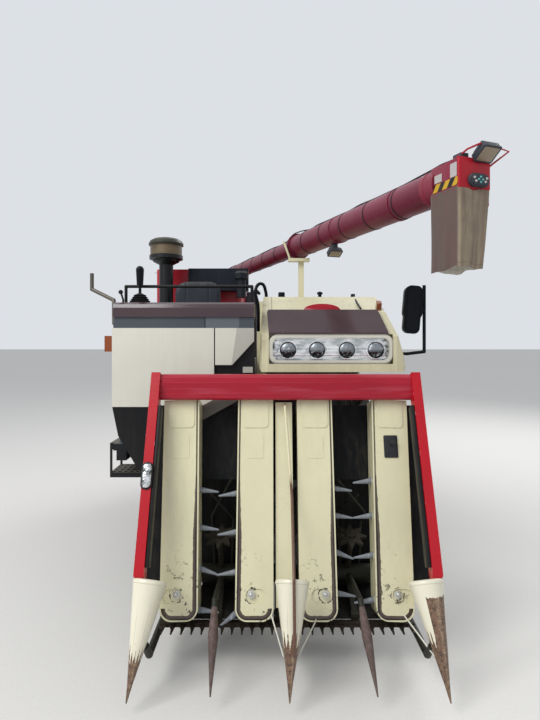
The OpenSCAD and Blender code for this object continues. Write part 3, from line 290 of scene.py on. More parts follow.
def coated(name, colour, rough=0.5, fade=0.2, chip=0.0, chip_size=30.0, edge=0.0, edge_width=0.004,
           streak=0.1, dirt=0.2, dirt_height=0.9, under="#4B3527", grime="#5E574A", earth="#9A9282",
           coat=0.0, metal=0.0, grain=0.05, grain_size=260.0, gloss=0.5, zones=(), on=()):
    """A finish of paint or plastic, from its clean colour to the dust on it, given to some nodes."""
    material, shader, place = shader_of(name)
    body = mixed(step_up(noise(place, 2.3, 4.0, 0.6), 0.3, 0.75),
                 paint(colour, 1 + fade * 0.4), paint(colour, 1 - fade))
    for zone in zones:
        body = zone(place, body)
    body = mixed(placed(streaks, place, amount=streak), body, paint(grime))
    worn = placed(chips, place, scale=chip_size, amount=chip)
    if edge:
        worn = worn.most(placed(edges, place, width=edge_width, amount=edge))
    elif not chip:
        worn = worn * 0.0
    metal_below = mixed(noise(place, 60.0, 3.0), paint(under, 0.7), paint(under, 1.6))
    body = mixed(worn, body, metal_below)
    settled = placed(dust, place, height=dirt_height, amount=dirt)
    feed(shader.inputs["Base Color"], mixed(settled, body, paint(earth)))
    dull = settled * 0.45 + worn * 0.35 + noise(place, 9.0, 5.0, 0.7) * 0.16
    feed(shader.inputs["Roughness"], (dull + (rough - 0.08)).clamped())
    bumpy(shader, noise(place, grain_size, 2.0) - worn, grain, 0.002)
    constants(shader, coat_weight=coat, coat_roughness=0.12, metallic=metal, specular_ior_level=gloss)
    dress(material, *on)
    return material


# %% [markdown]
# The raking cases are moulded covers in a yellowish cream that has stayed glossy. Their paint has chipped
# to dark brown near the feet, and the narrow groove that runs beside each case's tines has filled with
# dark mud, which has spread over the lower half. The groove is cut in the part. The mud is drawn by how far
# a point lies inside the case's own outline, so it follows the round corner at the foot.

# %% The cases' own frame
MM = 0.001
LEAN = math.radians(15.5)
HEADER_X = 136
CASE_FOOT = Vector((0.0, -1.844, 0.240))
CASE_SPREAD = [(-535, -565), (-163, -163), (156, 156), (533, 563)]
TINE_SIDE = [1, -1, 1, -1]
CASE_LENGTH = 1100
CASE_REACH = 120
CASE_FLAT, CASE_ROUND = 35, 60
CASE_OUT = Vector((0, -math.cos(LEAN), math.sin(LEAN)))
CASE_UP = Vector((0, math.sin(LEAN), math.cos(LEAN)))


def depth_in_case(place):
    """How far a point lies behind the leaning face of the cases, in metres."""
    return along_way(place, -CASE_OUT, CASE_FOOT)


def inside_case(place):
    """How far a point lies inside its case's outline, on the tines' side, and how high it lies."""
    rise = along_way(place, CASE_UP, CASE_FOOT)
    across = None
    for (foot, top), side in zip(CASE_SPREAD, TINE_SIDE):
        middle = rise * ((top - foot) / CASE_LENGTH) + (HEADER_X + foot) * MM
        own = axis_of(place, "X") - middle
        own = own * side * (abs(own) < CASE_REACH * MM)
        across = own if across is None else across + own
    far_side = abs(across) * (rise < CASE_ROUND * MM)
    across = (across.most(far_side) - CASE_FLAT * MM).most(0.0)
    below = (CASE_ROUND * MM - rise).most(0.0)
    return CASE_ROUND * MM - (across * across + below * below).root(), rise


# %% Cream panels
BOLT_X = [-12, -16, 35, 15]
POCKET_UP, POCKET_RADIUS = 119, 49.5
POCKET_SHARE = 0.11


def muddy_groove(place, body):
    inside, rise = inside_case(place)
    low = 1.0 - step_up(rise, 0.4, 0.72)
    ragged = noise(place, 34.0, 5.0, 0.7) * 0.009
    reach = 0.0105 + low * 0.0125 + ragged
    band = step_up(inside, 0.0066, 0.0076) * (inside < reach)
    face = depth_in_case(place) < 0.0135
    mud = mixed(noise(place, 50.0, 4.0, 0.7), paint("#33261F"), paint("#5A4A3E"))
    return mixed(band * face * (0.72 + low * 0.28), body, mud)


def rusty_feet(place, body):
    low = 1.0 - step_up(axis_of(place, "Z"), 0.35, 0.62)
    spots = step_up(noise(place, 34.0, 5.0, 0.75), 0.585, 0.6)
    patch = step_up(noise(place, 8.0, 2.0), 0.46, 0.56)
    return mixed(low * patch * spots, body, paint("#3A281E"))


def chipped_pockets(place, body):
    """A broken dark ring round each nut's pocket."""
    ring = None
    for number, x in enumerate(BOLT_X):
        foot, top = CASE_SPREAD[number]
        centre = Vector((HEADER_X + foot + x + (top - foot) * POCKET_SHARE, 0, 0)) + CASE_UP * POCKET_UP
        near = measured(place, "DISTANCE", centre * MM + CASE_FOOT)
        ring = near if ring is None else ring.least(near)
    ragged = noise(place, 55.0, 5.0, 0.75) * 0.03
    ring = abs(ring + ragged - POCKET_RADIUS * MM)
    broken = step_up(noise(place, 26.0, 3.0, 0.6), 0.5, 0.54)
    return mixed((ring < 0.0028) * broken, body, paint("#2E211A"))


case_cream = coated("case_cream", CREAM, rough=0.22, fade=0.1, chip=0.16, chip_size=42, edge=0.32,
                    edge_width=0.003, dirt=0.1, dirt_height=0.4, coat=0.25,
                    zones=(muddy_groove, rusty_feet, chipped_pockets), on=["raking_cases"])

sheet_cream = coated("sheet_cream", CREAM, rough=0.32, fade=0.14, chip=0.12, edge=0.25, streak=0.35,
                     dirt=0.32, dirt_height=1.1, coat=0.1, grain=0.08,
                     on=["engine_hood", "threshing_housing", "side_covers", "auger_rest", "drum_cover",
                         "radiator_door"])
coated("caked_wheels", "#25221C", rough=0.75, fade=0.3, chip=0.45, chip_size=34, streak=0.2,
       dirt_height=1.0, under="#4E4A3A", earth="#4A4436", grain=0.6, grain_size=90, gloss=0.2,
       on=["star_wheels"])
print("cream finishes", case_cream.name, sheet_cream.name)

# %% [markdown]
# The lamp cowl is the same cream, with one joint line down its left side. The line is drawn in the paint,
# because it is thinner than a wall of the part.

# %% Cowl
COWL_JOINT = 0.062


def cowl_joint(place, body):
    x, z = axis_of(place, "X"), axis_of(place, "Z")
    line = (abs(x - COWL_JOINT) < 0.0022) * (z > 1.8)
    body = mixed(line, body, paint("#6E6756"))
    side = 1.0 - step_up(x, 0.012, COWL_JOINT)
    height = (1.0 - 4.5 * abs(z - 1.76)).clamped()
    smear = step_up(noise(place, 9.0, 5.0, 0.7), 0.3, 0.62)
    return mixed(side * height * smear, body, paint("#6E5A3E"))


coated("cowl_cream", CREAM, rough=0.26, fade=0.1, chip=0.05, edge=0.15, streak=0.3, dirt=0.25,
       dirt_height=0.5, coat=0.2, zones=(cowl_joint,), on=["headlight_cowl"])

# %% [markdown]
# The divider cones plough through stubble and stones, so their paint is gone towards the tips: the left
# one is only chipped there, and the right one has lost a whole face down to rusty steel. The rust has a
# ragged edge, which comes from bending the border with noise.

# %% Divider cones, spindles and the guide rod
CONES = [(-648, -705), (20, 0), (648, 695)]
CONE_RIM, CONE_TIP = Vector((0, -1960, 487)), Vector((0, -2170, 56))
BARE_UNDER, FACE_UNDER = 0.315, 0.455


def round_the_cone(place):
    """The turn round a cone in radians, 0 to the front and more to the right, and which cone it is."""
    x, y, z = (axis_of(place, axis) for axis in "XYZ")
    down = (CONE_RIM.z * MM - z) / ((CONE_RIM.z - CONE_TIP.z) * MM)
    left, right = x < -0.25, x > 0.45
    middle = None
    for (rim_x, tip_x), own in zip(CONES, (left, 1.0 - left - right, right)):
        line = (down * ((tip_x - rim_x) * MM) + (HEADER_X + rim_x) * MM) * own
        middle = line if middle is None else middle + line
    axis_y = down * ((CONE_TIP.y - CONE_RIM.y) * MM) + CONE_RIM.y * MM
    return (x - middle).angle_over(axis_y - y), z, left, right


def bare_tips(place, body):
    turn, z, left, right = round_the_cone(place)
    ragged = (noise(place, 24.0, 5.0, 0.7) - 0.5) * 0.1
    tooth = (turn + 3.0).pingpong(0.22) * 0.28
    tip = z + ragged + tooth < BARE_UNDER - left * 0.055
    front = (turn > -0.42) * (turn < 0.98)
    edge = (noise(place, 70.0, 4.0, 0.7) - 0.5) * 0.03
    face = right * (z + edge < FACE_UNDER) * front
    bare = tip.most(face).clamped()
    rust = mixed(step_up(noise(place, 48.0, 6.0, 0.8), 0.36, 0.66), paint("#35211A"), paint("#8A6A50"))
    # Painted glint: pale flecks on the bare steel, only on the side facing front and a little right.
    glint_side = (1.0 - 3.4 * abs(turn - 0.28)).clamped()
    painted_glint = step_up(noise(place, 120.0, 4.0, 0.8), 0.42, 0.6) * glint_side
    rust = mixed(painted_glint * 0.7, rust, paint("#B9A184"))
    creases = (turn + 3.0).pingpong(0.44)
    creases = (creases < 0.012) * (1.0 - step_up(z, 0.36, 0.44))
    body = mixed(creases * 0.55, body, paint("#6E6450"))
    return mixed(bare, body, rust)


coated("cone_cream", "#DDD8C2", rough=0.24, fade=0.08, chip=0.12, chip_size=36, edge=0.1, streak=0.05,
       dirt=0.12, dirt_height=0.3, coat=0.25, zones=(bare_tips,), on=["divider_cones"])


def rusty_rod(place, body):
    rod = depth_in_case(place) < 0.014
    z = axis_of(place, "Z") + noise(place, 30.0, 4.0) * 0.12
    low = 1.0 - step_up(z, 0.93, 1.0)
    rust = mixed(noise(place, 70.0, 5.0, 0.75), paint("#2E1F18"), paint("#7A5038"))
    return mixed(rod * low, body, rust)


coated("guide_cream", CREAM, rough=0.28, fade=0.1, chip=0.14, edge=0.3, dirt=0.1, dirt_height=0.4,
       coat=0.15, zones=(rusty_rod,), on=["centre_guide"])


def rust_clouds(place, body):
    return mixed(step_up(noise(place, 38.0, 6.0, 0.8), 0.4, 0.68), body, paint("#665250"))


old_rust = coated("old_rust", "#3E2822", rough=0.7, fade=0.3, streak=0.2, dirt=0.15, grain=0.5,
                  grain_size=420, zones=(rust_clouds,), on=["small_dividers"])
print("rust finishes", old_rust.name)

# %% [markdown]
# Red is the machine's second colour. The top bar and the side rails are a crimson gloss, and the top bar
# carries pale pink painted highlights along its creases. The tank is the same paint, and the auger is a
# matt maroon, painted lighter on its upward faces as light from above.

# %% Reds
def creases(place, body):
    # Painted highlight: pale pink along the top bar's creases, on its front faces only.
    wave = noise(place, 1.0, 4.0, 0.6, (1.2, 14.0, 14.0))
    painted_crease_highlight = step_up(wave, 0.52, 0.7) * step_up(depth_in_case(place), -0.2, 0.0)
    return mixed(painted_crease_highlight * 0.45, body, paint("#C8687A"))


bar_red = coated("bar_red", CRIMSON, rough=0.34, fade=0.18, chip=0.06, chip_size=60, edge=0.3, streak=0.0,
                 dirt=0.06, dirt_height=0.3, under="#6A2A2A", coat=0.1, grain=0.06, gloss=0.3,
                 zones=(creases,))
rail_red = coated("rail_red", RAIL_RED, rough=0.28, fade=0.15, chip=0.1, chip_size=50, edge=0.35,
                  edge_width=0.003, streak=0.0, dirt=0.05, dirt_height=0.3, under="#C9A9A5", coat=0.15,
                  grain=0.1, grain_size=40, gloss=0.3)
tank_red = coated("tank_red", "#9E1626", rough=0.34, chip=0.08, edge=0.25, streak=0.3, dirt=0.25,
                  dirt_height=1.0, coat=0.1, grain=0.06, gloss=0.3)
dress(bar_red, "top_bar")
dress(rail_red, "side_rails")
dress(tank_red, "grain_tank", "straw_cutter")


def painted_lit_top(place, body):
    # Painted light: upward faces are mixed towards a lighter maroon, as lit from above.
    up = axis_of(Wire(new_node(place.tree, "NewGeometry").outputs["Normal"]), "Z")
    return mixed(step_up(up, -0.1, 0.9) * 0.55, body, paint("#8E465C"))


auger_maroon = coated("auger_maroon", MAROON, rough=0.42, chip=0.06, edge=0.2, streak=0.15, dirt=0.1,
                      dirt_height=0.5, under="#5A3A3A", coat=0.05, grain=0.06, gloss=0.3,
                      zones=(painted_lit_top,), on=["auger_tube", "auger_column"])
print("reds", bar_red.name, rail_red.name, tank_red.name, auger_maroon.name)

# %% [markdown]
# The operator's front is a sandwich: off-white panels, a grey plastic band with a joint in it, and a glossy
# brown trim on top that mirrors the sky. The visor over the headlights is the same brown. The panels'
# corner facet is painted in shade, and so is the band's lower right part.

# %% The operator's front
def shaded_corner_facet(place, body):
    # Painted shade: the facet turned away past the fold gets a darker copy of the panel white.
    fold = -0.395 + axis_of(place, "Z") * 0.1448
    painted_shade_share = (axis_of(place, "X") > fold) * 0.75
    return mixed(painted_shade_share, body, paint(PANEL_WHITE, 0.55))


coated("panel_white", PANEL_WHITE, rough=0.3, fade=0.07, chip=0.03, edge=0.1, streak=0.12, dirt=0.12,
       dirt_height=0.6, coat=0.15, zones=(shaded_corner_facet,), on=["front_panels"])


BAND_JOINT = -0.34


def band_joints_and_shade(place, body):
    x = axis_of(place, "X")
    body = mixed((x > BAND_JOINT) * (x < -0.135), body, paint("#596066"))
    body = mixed(abs(x - BAND_JOINT) < 0.003, body, paint("#181A1C"))
    # Painted shade: the lower right part of the band is near black.
    shade = (x > -0.286) * (axis_of(place, "Z") < 1.702)
    return mixed(shade, body, paint("#0C0E12"))


coated("band_grey", SLATE, rough=0.45, fade=0.12, chip=0.03, edge=0.12, streak=0.15, dirt=0.15,
       dirt_height=0.8, under="#7C8084", grain=0.15, gloss=0.3, zones=(band_joints_and_shade,), on=["console_box"])
coated("gloss_brown", BROWN, rough=0.16, chip=0.03, edge=0.12, streak=0.06, dirt=0.08, dirt_height=0.3,
       under="#8A7F7A", coat=0.3, grain=0.03, gloss=0.3, on=["console_band", "visor"])
coated("dark_grey", SLATE, fade=0.15, chip=0.06, edge=0.2, streak=0.2, dirt=0.4, under="#6B6055",
       grain=0.15, gloss=0.3, on=["engine_block", "side_console", "grain_elevator", "auger_brackets"])
duct_grey = coated("duct_grey", "#1B2029", fade=0.15, chip=0.04, edge=0.2, streak=0.2, dirt=0.25,
                   under="#3E4247", grain=0.2, gloss=0.12, on=["air_duct"])
coated("greasy_black", "#14150F", fade=0.3, chip=0.1, chip_size=30, edge=0.3, dirt=0.25, under="#4A3A2C",
       earth="#4C4638", grain=0.4, grain_size=140, gloss=0.3,
       on=["stalk_conveyor", "header_frame", "transmission_case", "header_cylinder_barrel"])

# %% [markdown]
# The air pre-cleaner is three finishes in one stack: a black stalk and base ring, a tan bowl that lets the
# dust show, and a dark olive dome. They are told apart by height alone.

# %% Pre-cleaner
BOWL_FOOT, BOWL_TOP = 2.3275, 2.4035


def stacked_finishes(place, body):
    z = axis_of(place, "Z")
    murk = mixed(step_up(noise(place, 8.0, 4.0, 0.6), 0.35, 0.7), paint("#6E5F49"), paint("#4E4536"))
    body = mixed((z > BOWL_FOOT) * (z < BOWL_TOP), body, murk)
    return mixed(z > BOWL_TOP, body, paint("#2A2B24"))


coated("cleaner_stack", "#101216", rough=0.38, fade=0.1, edge=0.1, dirt=0.25, dirt_height=0.4,
       under="#4B4838", coat=0.05, grain=0.06, gloss=0.25, zones=(stacked_finishes,), on=["pre_cleaner"])

# %% [markdown]
# Frames are black satin paint under a coat of dried mud, tracks are rubber that has gone grey where it
# touches the ground, and the castings are bare metal darkened by oil.

# %% Frames, rubber and bare metal
coated("frame_black", BLACK, chip=0.12, edge=0.35, dirt=0.45, dirt_height=0.8, under="#5A3A26", grain=0.2,
       gloss=0.2, on=["chassis_frame", "track_frames", "operator_platform", "seat_frame",
                      "auger_cylinder_barrel"])
skirt_black = coated("skirt_black", "#101114", rough=0.42, fade=0.12, chip=0.04, edge=0.2, streak=0.12,
                     dirt=0.08, dirt_height=1.2, under="#4A4A48", grain=0.12, gloss=0.2,
                     on=["lower_skirt", "control_levers"])
coated("track_rubber", "#1F2022", rough=0.72, edge=0.3, edge_width=0.006, streak=0.0, dirt=0.7,
       dirt_height=0.5, under="#4A4642", earth="#746A58", grain=0.5, grain_size=180, gloss=0.15,
       on=["track_left", "track_right"])
plastic_black = coated("plastic_black", "#0E1016", rough=0.4, fade=0.1, edge=0.08, streak=0.05, dirt=0.08,
                       dirt_height=0.5, under="#45484C", grain=0.2, grain_size=500, gloss=0.12,
                       on=["mirror", "steering_lever"])
coated("worn_steel", "#8E9296", rough=0.38, fade=0.25, chip=0.18, streak=0.2, dirt=0.35, dirt_height=0.8,
       under="#5B4232", metal=0.85, grain=0.2, grain_size=150,
       on=["drive_sprockets", "threshing_drum", "feed_chain", "feed_rail"])
coated("knife_steel", "#2A221C", rough=0.55, fade=0.3, chip=0.3, chip_size=60, edge=0.3, streak=0.0,
       dirt_height=0.5, under="#5E5A55", earth="#4C4438", metal=0.4, grain=0.4, gloss=0.3,
       on=["cutter_bar"])
coated("rail_bronze", "#5F5A52", rough=0.4, chip=0.15, dirt=0.1, under="#3A332C", metal=0.6, grain=0.15,
       on=["grab_rail"])
coated("rod_chrome", "#C9CCCF", rough=0.12, fade=0.04, dirt=0.05, metal=1.0, grain=0.02,
       on=["header_cylinder_rod", "auger_cylinder_rod"])

# %% [markdown]
# The tines are moulded in a light blue-grey plastic that mud has dulled at their roots.

# %% Tines and signal lenses
def dull_roots(place, body):
    inside, _ = inside_case(place)
    near = step_up(inside + noise(place, 60.0, 4.0) * 0.03, -0.03, -0.002)
    return mixed(near * 0.75, body, paint("#4E5156"))


tine_plastic = coated("tine_plastic", "#B4BEC8", rough=0.42, fade=0.12, chip=0.05, dirt=0.15,
                      dirt_height=0.5, under="#6A6660", grain=0.1, gloss=0.4, zones=(dull_roots,),
                      on=["rake_tines"])
coated("orange_lens", "#84401A", rough=0.18, fade=0.12, dirt=0.12, dirt_height=0.5, coat=0.3, grain=0.3,
       grain_size=90, gloss=0.4, on=["turn_signals"])

# %% [markdown]
# The headlight unit is a cream bezel round a mirror of bright plastic with fine steps across it. Four round
# lamps stand in it, each a dome of clear glass over a dark bowl, so each dome gets its own finish by its
# distance from a lamp's centre. The domes' lighter upper half and their bright flecks are painted
# reflection.

# %% Headlights
LAMP_X, LAMP_Z = (0.160, 0.335, 0.515, 0.690), 1.570
LAMP_RADIUS, MIRROR_MIDDLE = 0.0502, 0.419
coated("bezel_cream", "#CFCDBE", rough=0.3, fade=0.08, edge=0.1, dirt=0.15, dirt_height=0.3, coat=0.2,
       grain=0.04, on=["headlight_unit"])

bright, shader, place = shader_of("lamp_mirror")
x, z = axis_of(place, "X"), axis_of(place, "Z")
nearest = None
for centre in LAMP_X:
    across, high = x - centre, z - LAMP_Z
    far = (across * across + high * high).root()
    nearest = far if nearest is None else nearest.least(far)
glass = nearest < LAMP_RADIUS
# Painted reflection: the dark bowl is painted lighter in its upper half and gets bright flecks.
bowl_and_reflections = mixed(1.0 - step_up(z, 1.555, 1.575), paint("#7E858A"), paint("#1C1F22"))
bowl_and_reflections = mixed(step_up(noise(place, 42.0, 3.0, 0.7), 0.55, 0.7), bowl_and_reflections, paint("#C9D0D4"))
mirror_tone = mixed(step_up(noise(place, 13.0, 2.0, 0.5, (1.0, 1.0, 3.0)), 0.42, 0.6),
                    paint("#FAFBFC"), paint("#C4C9CC"))
ends = step_up(abs(x - MIRROR_MIDDLE), 0.30, 0.345)
crumpled = step_up(noise(place, 46.0, 3.0, 0.6), 0.46, 0.58)
mirror_tone = mixed(ends * crumpled, mirror_tone, paint("#555B60"))
feed(shader.inputs["Base Color"], mixed(glass, mirror_tone, bowl_and_reflections))
feed(shader.inputs["Metallic"], 0.9 - glass * 0.7)
constants(shader, roughness=0.22, coat_weight=0.3)
steps = new_node(place.tree, "TexWave", scale=15.0, distortion=0.15, vector=place)
steps.bands_direction = "Z"
bumpy(shader, Wire(steps.outputs["Fac"]) * (1.0 - glass), 0.35, 0.003)
dress(bright, "headlight_reflector")
print("lamp finish", bright.name)

# %% [markdown]
# The fittings are modelled as by hand: a circle is extruded and scaled ring by ring into a turned solid, a
# plane gets round corners and a thickness, and a curve becomes a tube. Each is made about the origin, where
# it is easy to think about, and is then stood in its place with its turn and scale applied.

# %% Helpers for modelling
def alone(*pieces):
    """Leaves edit mode and selects these pieces alone, since an operator acts on all that is selected."""
    if bpy.context.object and bpy.context.object.mode != "OBJECT":
        bpy.ops.object.mode_set(mode="OBJECT")
    bpy.ops.object.select_all(action="DESELECT")
    for piece in pieces:
        piece.select_set(True)
        bpy.context.view_layer.objects.active = piece


def newest(name):
    """The piece that an operator has just made, with its name."""
    piece = bpy.context.object
    piece.name = name
    return piece


def edit(select="SELECT"):
    """Goes into edit mode and selects everything or nothing."""
    bpy.ops.object.mode_set(mode="EDIT")
    bpy.ops.mesh.select_all(action=select)


def extrude(x, y, z):
    """Extrudes what is selected, by a way in mm."""
    bpy.ops.mesh.extrude_region_move(TRANSFORM_OT_translate={"value": (x * MM, y * MM, z * MM)})


def outward():
    """Turns every face outwards and leaves edit mode."""
    bpy.ops.mesh.select_all(action="SELECT")
    bpy.ops.mesh.normals_make_consistent(inside=False)
    bpy.ops.object.mode_set(mode="OBJECT")


def applied(piece, kind, **settings):
    """Adds a modifier with its settings and applies it."""
    alone(piece)
    modifier = piece.modifiers.new(kind.lower(), kind)
    for setting, value in settings.items():
        setattr(modifier, setting, value)
    bpy.ops.object.modifier_apply(modifier=modifier.name)
    return piece


def turned(name, outline, sides=24):
    """A round solid about Z. The outline is a list of [radius, height] in mm, from its foot to its top."""
    alone()
    bpy.ops.mesh.primitive_circle_add(vertices=sides, radius=outline[0][0] * MM, fill_type="NGON",
                                      location=(0, 0, outline[0][1] * MM))
    piece = newest(name)
    edit()
    for (near, low), (far, high) in zip(outline, outline[1:]):
        extrude(0, 0, high - low)
        bpy.ops.transform.resize(value=(far / near, far / near, 1))
    outward()
    bpy.ops.object.transform_apply(location=True, rotation=True, scale=True)
    return piece


def soften(piece, width, segments=2):
    """Rounds every edge sharper than 30 degrees by a width in mm."""
    return applied(piece, "BEVEL", width=width * MM, segments=segments, limit_method="ANGLE")


def plate(name, width, height, thick, corner=0.0, edge=0.0):
    """A flat plate with round corners and softened edges, its back on z = 0. All in mm."""
    alone()
    bpy.ops.mesh.primitive_plane_add(size=1)
    piece = newest(name)
    piece.scale = (width * MM, height * MM, 1)
    bpy.ops.object.transform_apply(location=True, rotation=True, scale=True)
    edit()
    if corner:
        bpy.ops.mesh.bevel(affect="VERTICES", offset=corner * MM, segments=6)
        bpy.ops.mesh.select_all(action="SELECT")
    extrude(0, 0, thick)
    outward()
    return soften(piece, edge) if edge else piece


def block(name, width, depth, height, edge=2.0):
    """A box about the origin with rounded edges."""
    alone()
    bpy.ops.mesh.primitive_cube_add(size=1)
    piece = newest(name)
    piece.scale = (width * MM, depth * MM, height * MM)
    bpy.ops.object.transform_apply(location=True, rotation=True, scale=True)
    return soften(piece, edge) if edge else piece


def stand(piece, place, across=(1, 0, 0), facing=(0, -1, 0)):
    """Stands a piece at a place in mm, its X along across and its Z along facing."""
    z = Vector(facing).normalized()
    x = Vector(across)
    x = (x - z * x.dot(z)).normalized()
    turn = Matrix((x, z.cross(x), z)).transposed().to_4x4()
    piece.data.transform(Matrix.Translation(Vector(place) * MM) @ turn)
    return piece


def joined(name, pieces):
    """Makes one piece of several."""
    alone(*pieces)
    bpy.ops.object.join()
    return newest(name)


def repeated(name, model, places):
    """Copies a model to every [place, across, facing], and joins the copies. The model itself goes."""
    made = []
    for place, across, facing in places:
        twin = model.copy()
        twin.data = model.data.copy()
        bpy.context.scene.collection.objects.link(twin)
        made.append(stand(twin, place, across, facing))
    bpy.data.objects.remove(model)
    return joined(name, made)


def tube(name, points, radius, sides=8, smooth=True):
    """A round tube of a radius in mm through points in mm, with closed ends."""
    line = bpy.data.curves.new(name, "CURVE")
    line.dimensions = "3D"
    line.bevel_depth = radius * MM
    line.bevel_resolution = max(1, sides // 4)
    line.use_fill_caps = True
    line.resolution_u = 6
    spline = line.splines.new("BEZIER" if smooth else "POLY")
    knots = spline.bezier_points if smooth else spline.points
    knots.add(len(points) - 1)
    for knot, point in zip(knots, points):
        if smooth:
            knot.co = Vector(point) * MM
            knot.handle_left_type = knot.handle_right_type = "AUTO"
        else:
            knot.co = (*(Vector(point) * MM), 1)
    piece = bpy.data.objects.new(name, line)
    bpy.context.scene.collection.objects.link(piece)
    alone(piece)
    bpy.ops.object.convert(target="MESH")
    edit()
    bpy.ops.mesh.remove_doubles(threshold=0.00002)
    outward()
    return bpy.context.object


def folded(name, left, right, bends, thick):
    """A bent sheet between two X. The bends are [y, z] places, and the wall has a thickness, all in mm."""
    alone()
    bpy.ops.mesh.primitive_plane_add(size=1)
    piece = newest(name)
    for point in piece.data.vertices:
        x = left if point.co.x < 0 else right
        point.co = Vector((x, *bends[0 if point.co.y < 0 else 1])) * MM
    edit("DESELECT")
    bpy.ops.mesh.select_mode(type="EDGE")
    bpy.ops.object.mode_set(mode="OBJECT")
    last = Vector((0, *bends[1])) * MM
    for edge in piece.data.edges:
        ends = [piece.data.vertices[corner].co for corner in edge.vertices]
        edge.select = all((Vector((0, end.y, end.z)) - last).length < 1e-6 for end in ends)
    bpy.ops.object.mode_set(mode="EDIT")
    for (y, z), (far_y, far_z) in zip(bends[1:], bends[2:]):
        extrude(0, far_y - y, far_z - z)
    applied(piece, "SOLIDIFY", thickness=thick * MM, offset=0)
    edit()
    bpy.ops.mesh.select_mode(type="VERT")
    outward()
    return piece


def finished(piece, name, material, body, angle=35):
    """Names a piece, or joins a list of them, gives it its finish and lets it ride on its body."""
    if isinstance(piece, list):
        piece = joined(name, piece)
    piece.name = piece.data.name = name
    if material is not None:
        piece.data.materials.clear()
        piece.data.materials.append(material)
    alone(piece)
    bpy.ops.object.shade_smooth_by_angle(angle=math.radians(angle))
    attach(piece, body)
    print(name, len(piece.data.polygons), "faces")
    return piece


# %% [markdown]
# Two parts of the machine have frames of their own. The auger points 21 degrees to the side, and the raking
# cases lean back and fan out a little. A place on either is easiest to give in its own frame.

# %% The auger's frame and the cases' frame
AUGER_TURN = math.radians(21)
AUGER_ROOT = Vector((-586, 1760, 2335))
AUGER_LENGTH = 4100
ALONG = Vector((math.sin(AUGER_TURN), -math.cos(AUGER_TURN), 0))
ACROSS = Vector((math.cos(AUGER_TURN), math.sin(AUGER_TURN), 0))
UP = Vector((0, 0, 1))


def on_auger(x, along, z):
    """A place by its distance across the auger, along it from its pivot, and over its centre line."""
    return AUGER_ROOT + ACROSS * x + ALONG * along + UP * z


def on_case(number, x, out, up):
    """A place on a raking case: across it, out of its face, and up from its foot."""
    foot, top = CASE_SPREAD[number]
    lean = math.atan((top - foot) / CASE_LENGTH)
    side = x * math.cos(lean) + up * math.sin(lean)
    rise = up * math.cos(lean) - x * math.sin(lean)
    return Vector((HEADER_X + foot + side, 0, 0)) + CASE_FOOT / MM + CASE_OUT * out + CASE_UP * rise


print("spout at", on_auger(0, AUGER_LENGTH, 0), "case top", on_case(0, 0, 0, CASE_LENGTH))

# %% [markdown]
# At the tube's end the maroon pipe runs into a pressed steel housing, open below, with a brighter red front
# plate. Its left side carries a yellow and black hazard band and two blank pale labels. The housing starts
# as a block whose lowest face is inset and pushed up inside, which leaves walls of one thickness.

# %% The spout's finishes
STRIPE_PITCH = 0.064


def maroon_sides(place, body):
    along = along_way(place, ALONG, AUGER_ROOT * MM)
    return mixed(along < 4.198, body, paint("#7A2036"))


spout_red = coated("spout_red", "#B01428", rough=0.38, fade=0.25, chip=0.12, edge=0.3, streak=0.35,
                   dirt=0.1, dirt_height=0.5, coat=0.05, grain=0.06, gloss=0.3, zones=(maroon_sides,))
rod_red = coated("rod_red", "#A01428", rough=0.35, chip=0.15, chip_size=80, edge=0.3, streak=0.0,
                 gloss=0.3)


def hazard_stripes(place, body):
    slanted = along_way(place, ALONG, AUGER_ROOT * MM) - axis_of(place, "Z") * 0.7
    return mixed((slanted / STRIPE_PITCH).fraction() < 0.5, body, paint("#B8921E"))


hazard_paint = coated("hazard_paint", "#17171A", rough=0.4, chip=0.15, chip_size=70, streak=0.3,
                      under="#6A2030", gloss=0.3, zones=(hazard_stripes,))
label_white = coated("label_white", "#B4B0AE", rough=0.45, chip=0.1, chip_size=80, streak=0.3,
                     under="#7A5A5A", gloss=0.3)

# %% The spout's housing
def hollowed(piece, wall, depth):
    """Opens a block from below: its lowest face is inset by a wall and pushed up inside, in mm."""
    alone(piece)
    edit("DESELECT")
    bpy.ops.mesh.select_mode(type="FACE")
    bpy.ops.object.mode_set(mode="OBJECT")
    for face in piece.data.polygons:
        face.select = face.normal.z < -0.9
    bpy.ops.object.mode_set(mode="EDIT")
    bpy.ops.mesh.inset(thickness=wall * MM)
    extrude(0, 0, depth)
    bpy.ops.mesh.select_mode(type="VERT")
    bpy.ops.object.mode_set(mode="OBJECT")
    return piece


SPOUT_X, SPOUT_WIDE = 11, 162
SPOUT_LEFT = SPOUT_X - SPOUT_WIDE / 2
housing = hollowed(block("housing", SPOUT_WIDE, 190, 200, edge=0), 6, 188)
soften(housing, 3.5)
stand(housing, on_auger(SPOUT_X, 4115, -30), ACROSS, UP)
front = stand(plate("front", SPOUT_WIDE + 4, 134, 5, corner=9, edge=1.2), on_auger(SPOUT_X, 4208, 4),
              ACROSS, ALONG)
collar = stand(turned("collar", [[70, 0], [84.5, 1], [84.5, 26], [82, 28], [82, 96], [60, 98]], sides=56),
               on_auger(0, 3944, 0), ACROSS, ALONG)
rivet = turned("rivet", [[5, 0], [4.6, 1.6], [2.8, 2.8], [0.4, 3.1]], sides=10)
rivets = repeated("rivets", rivet, [
    (on_auger(SPOUT_LEFT - 2.4, along, -66), ALONG, -ACROSS) for along in (4052, 4115, 4178)] + [
    (on_auger(x, 4215, -58), ACROSS, ALONG) for x in (-22, 44)])
spout = finished([housing, front, collar, rivets], "spout_housing", spout_red, "auger_boom")
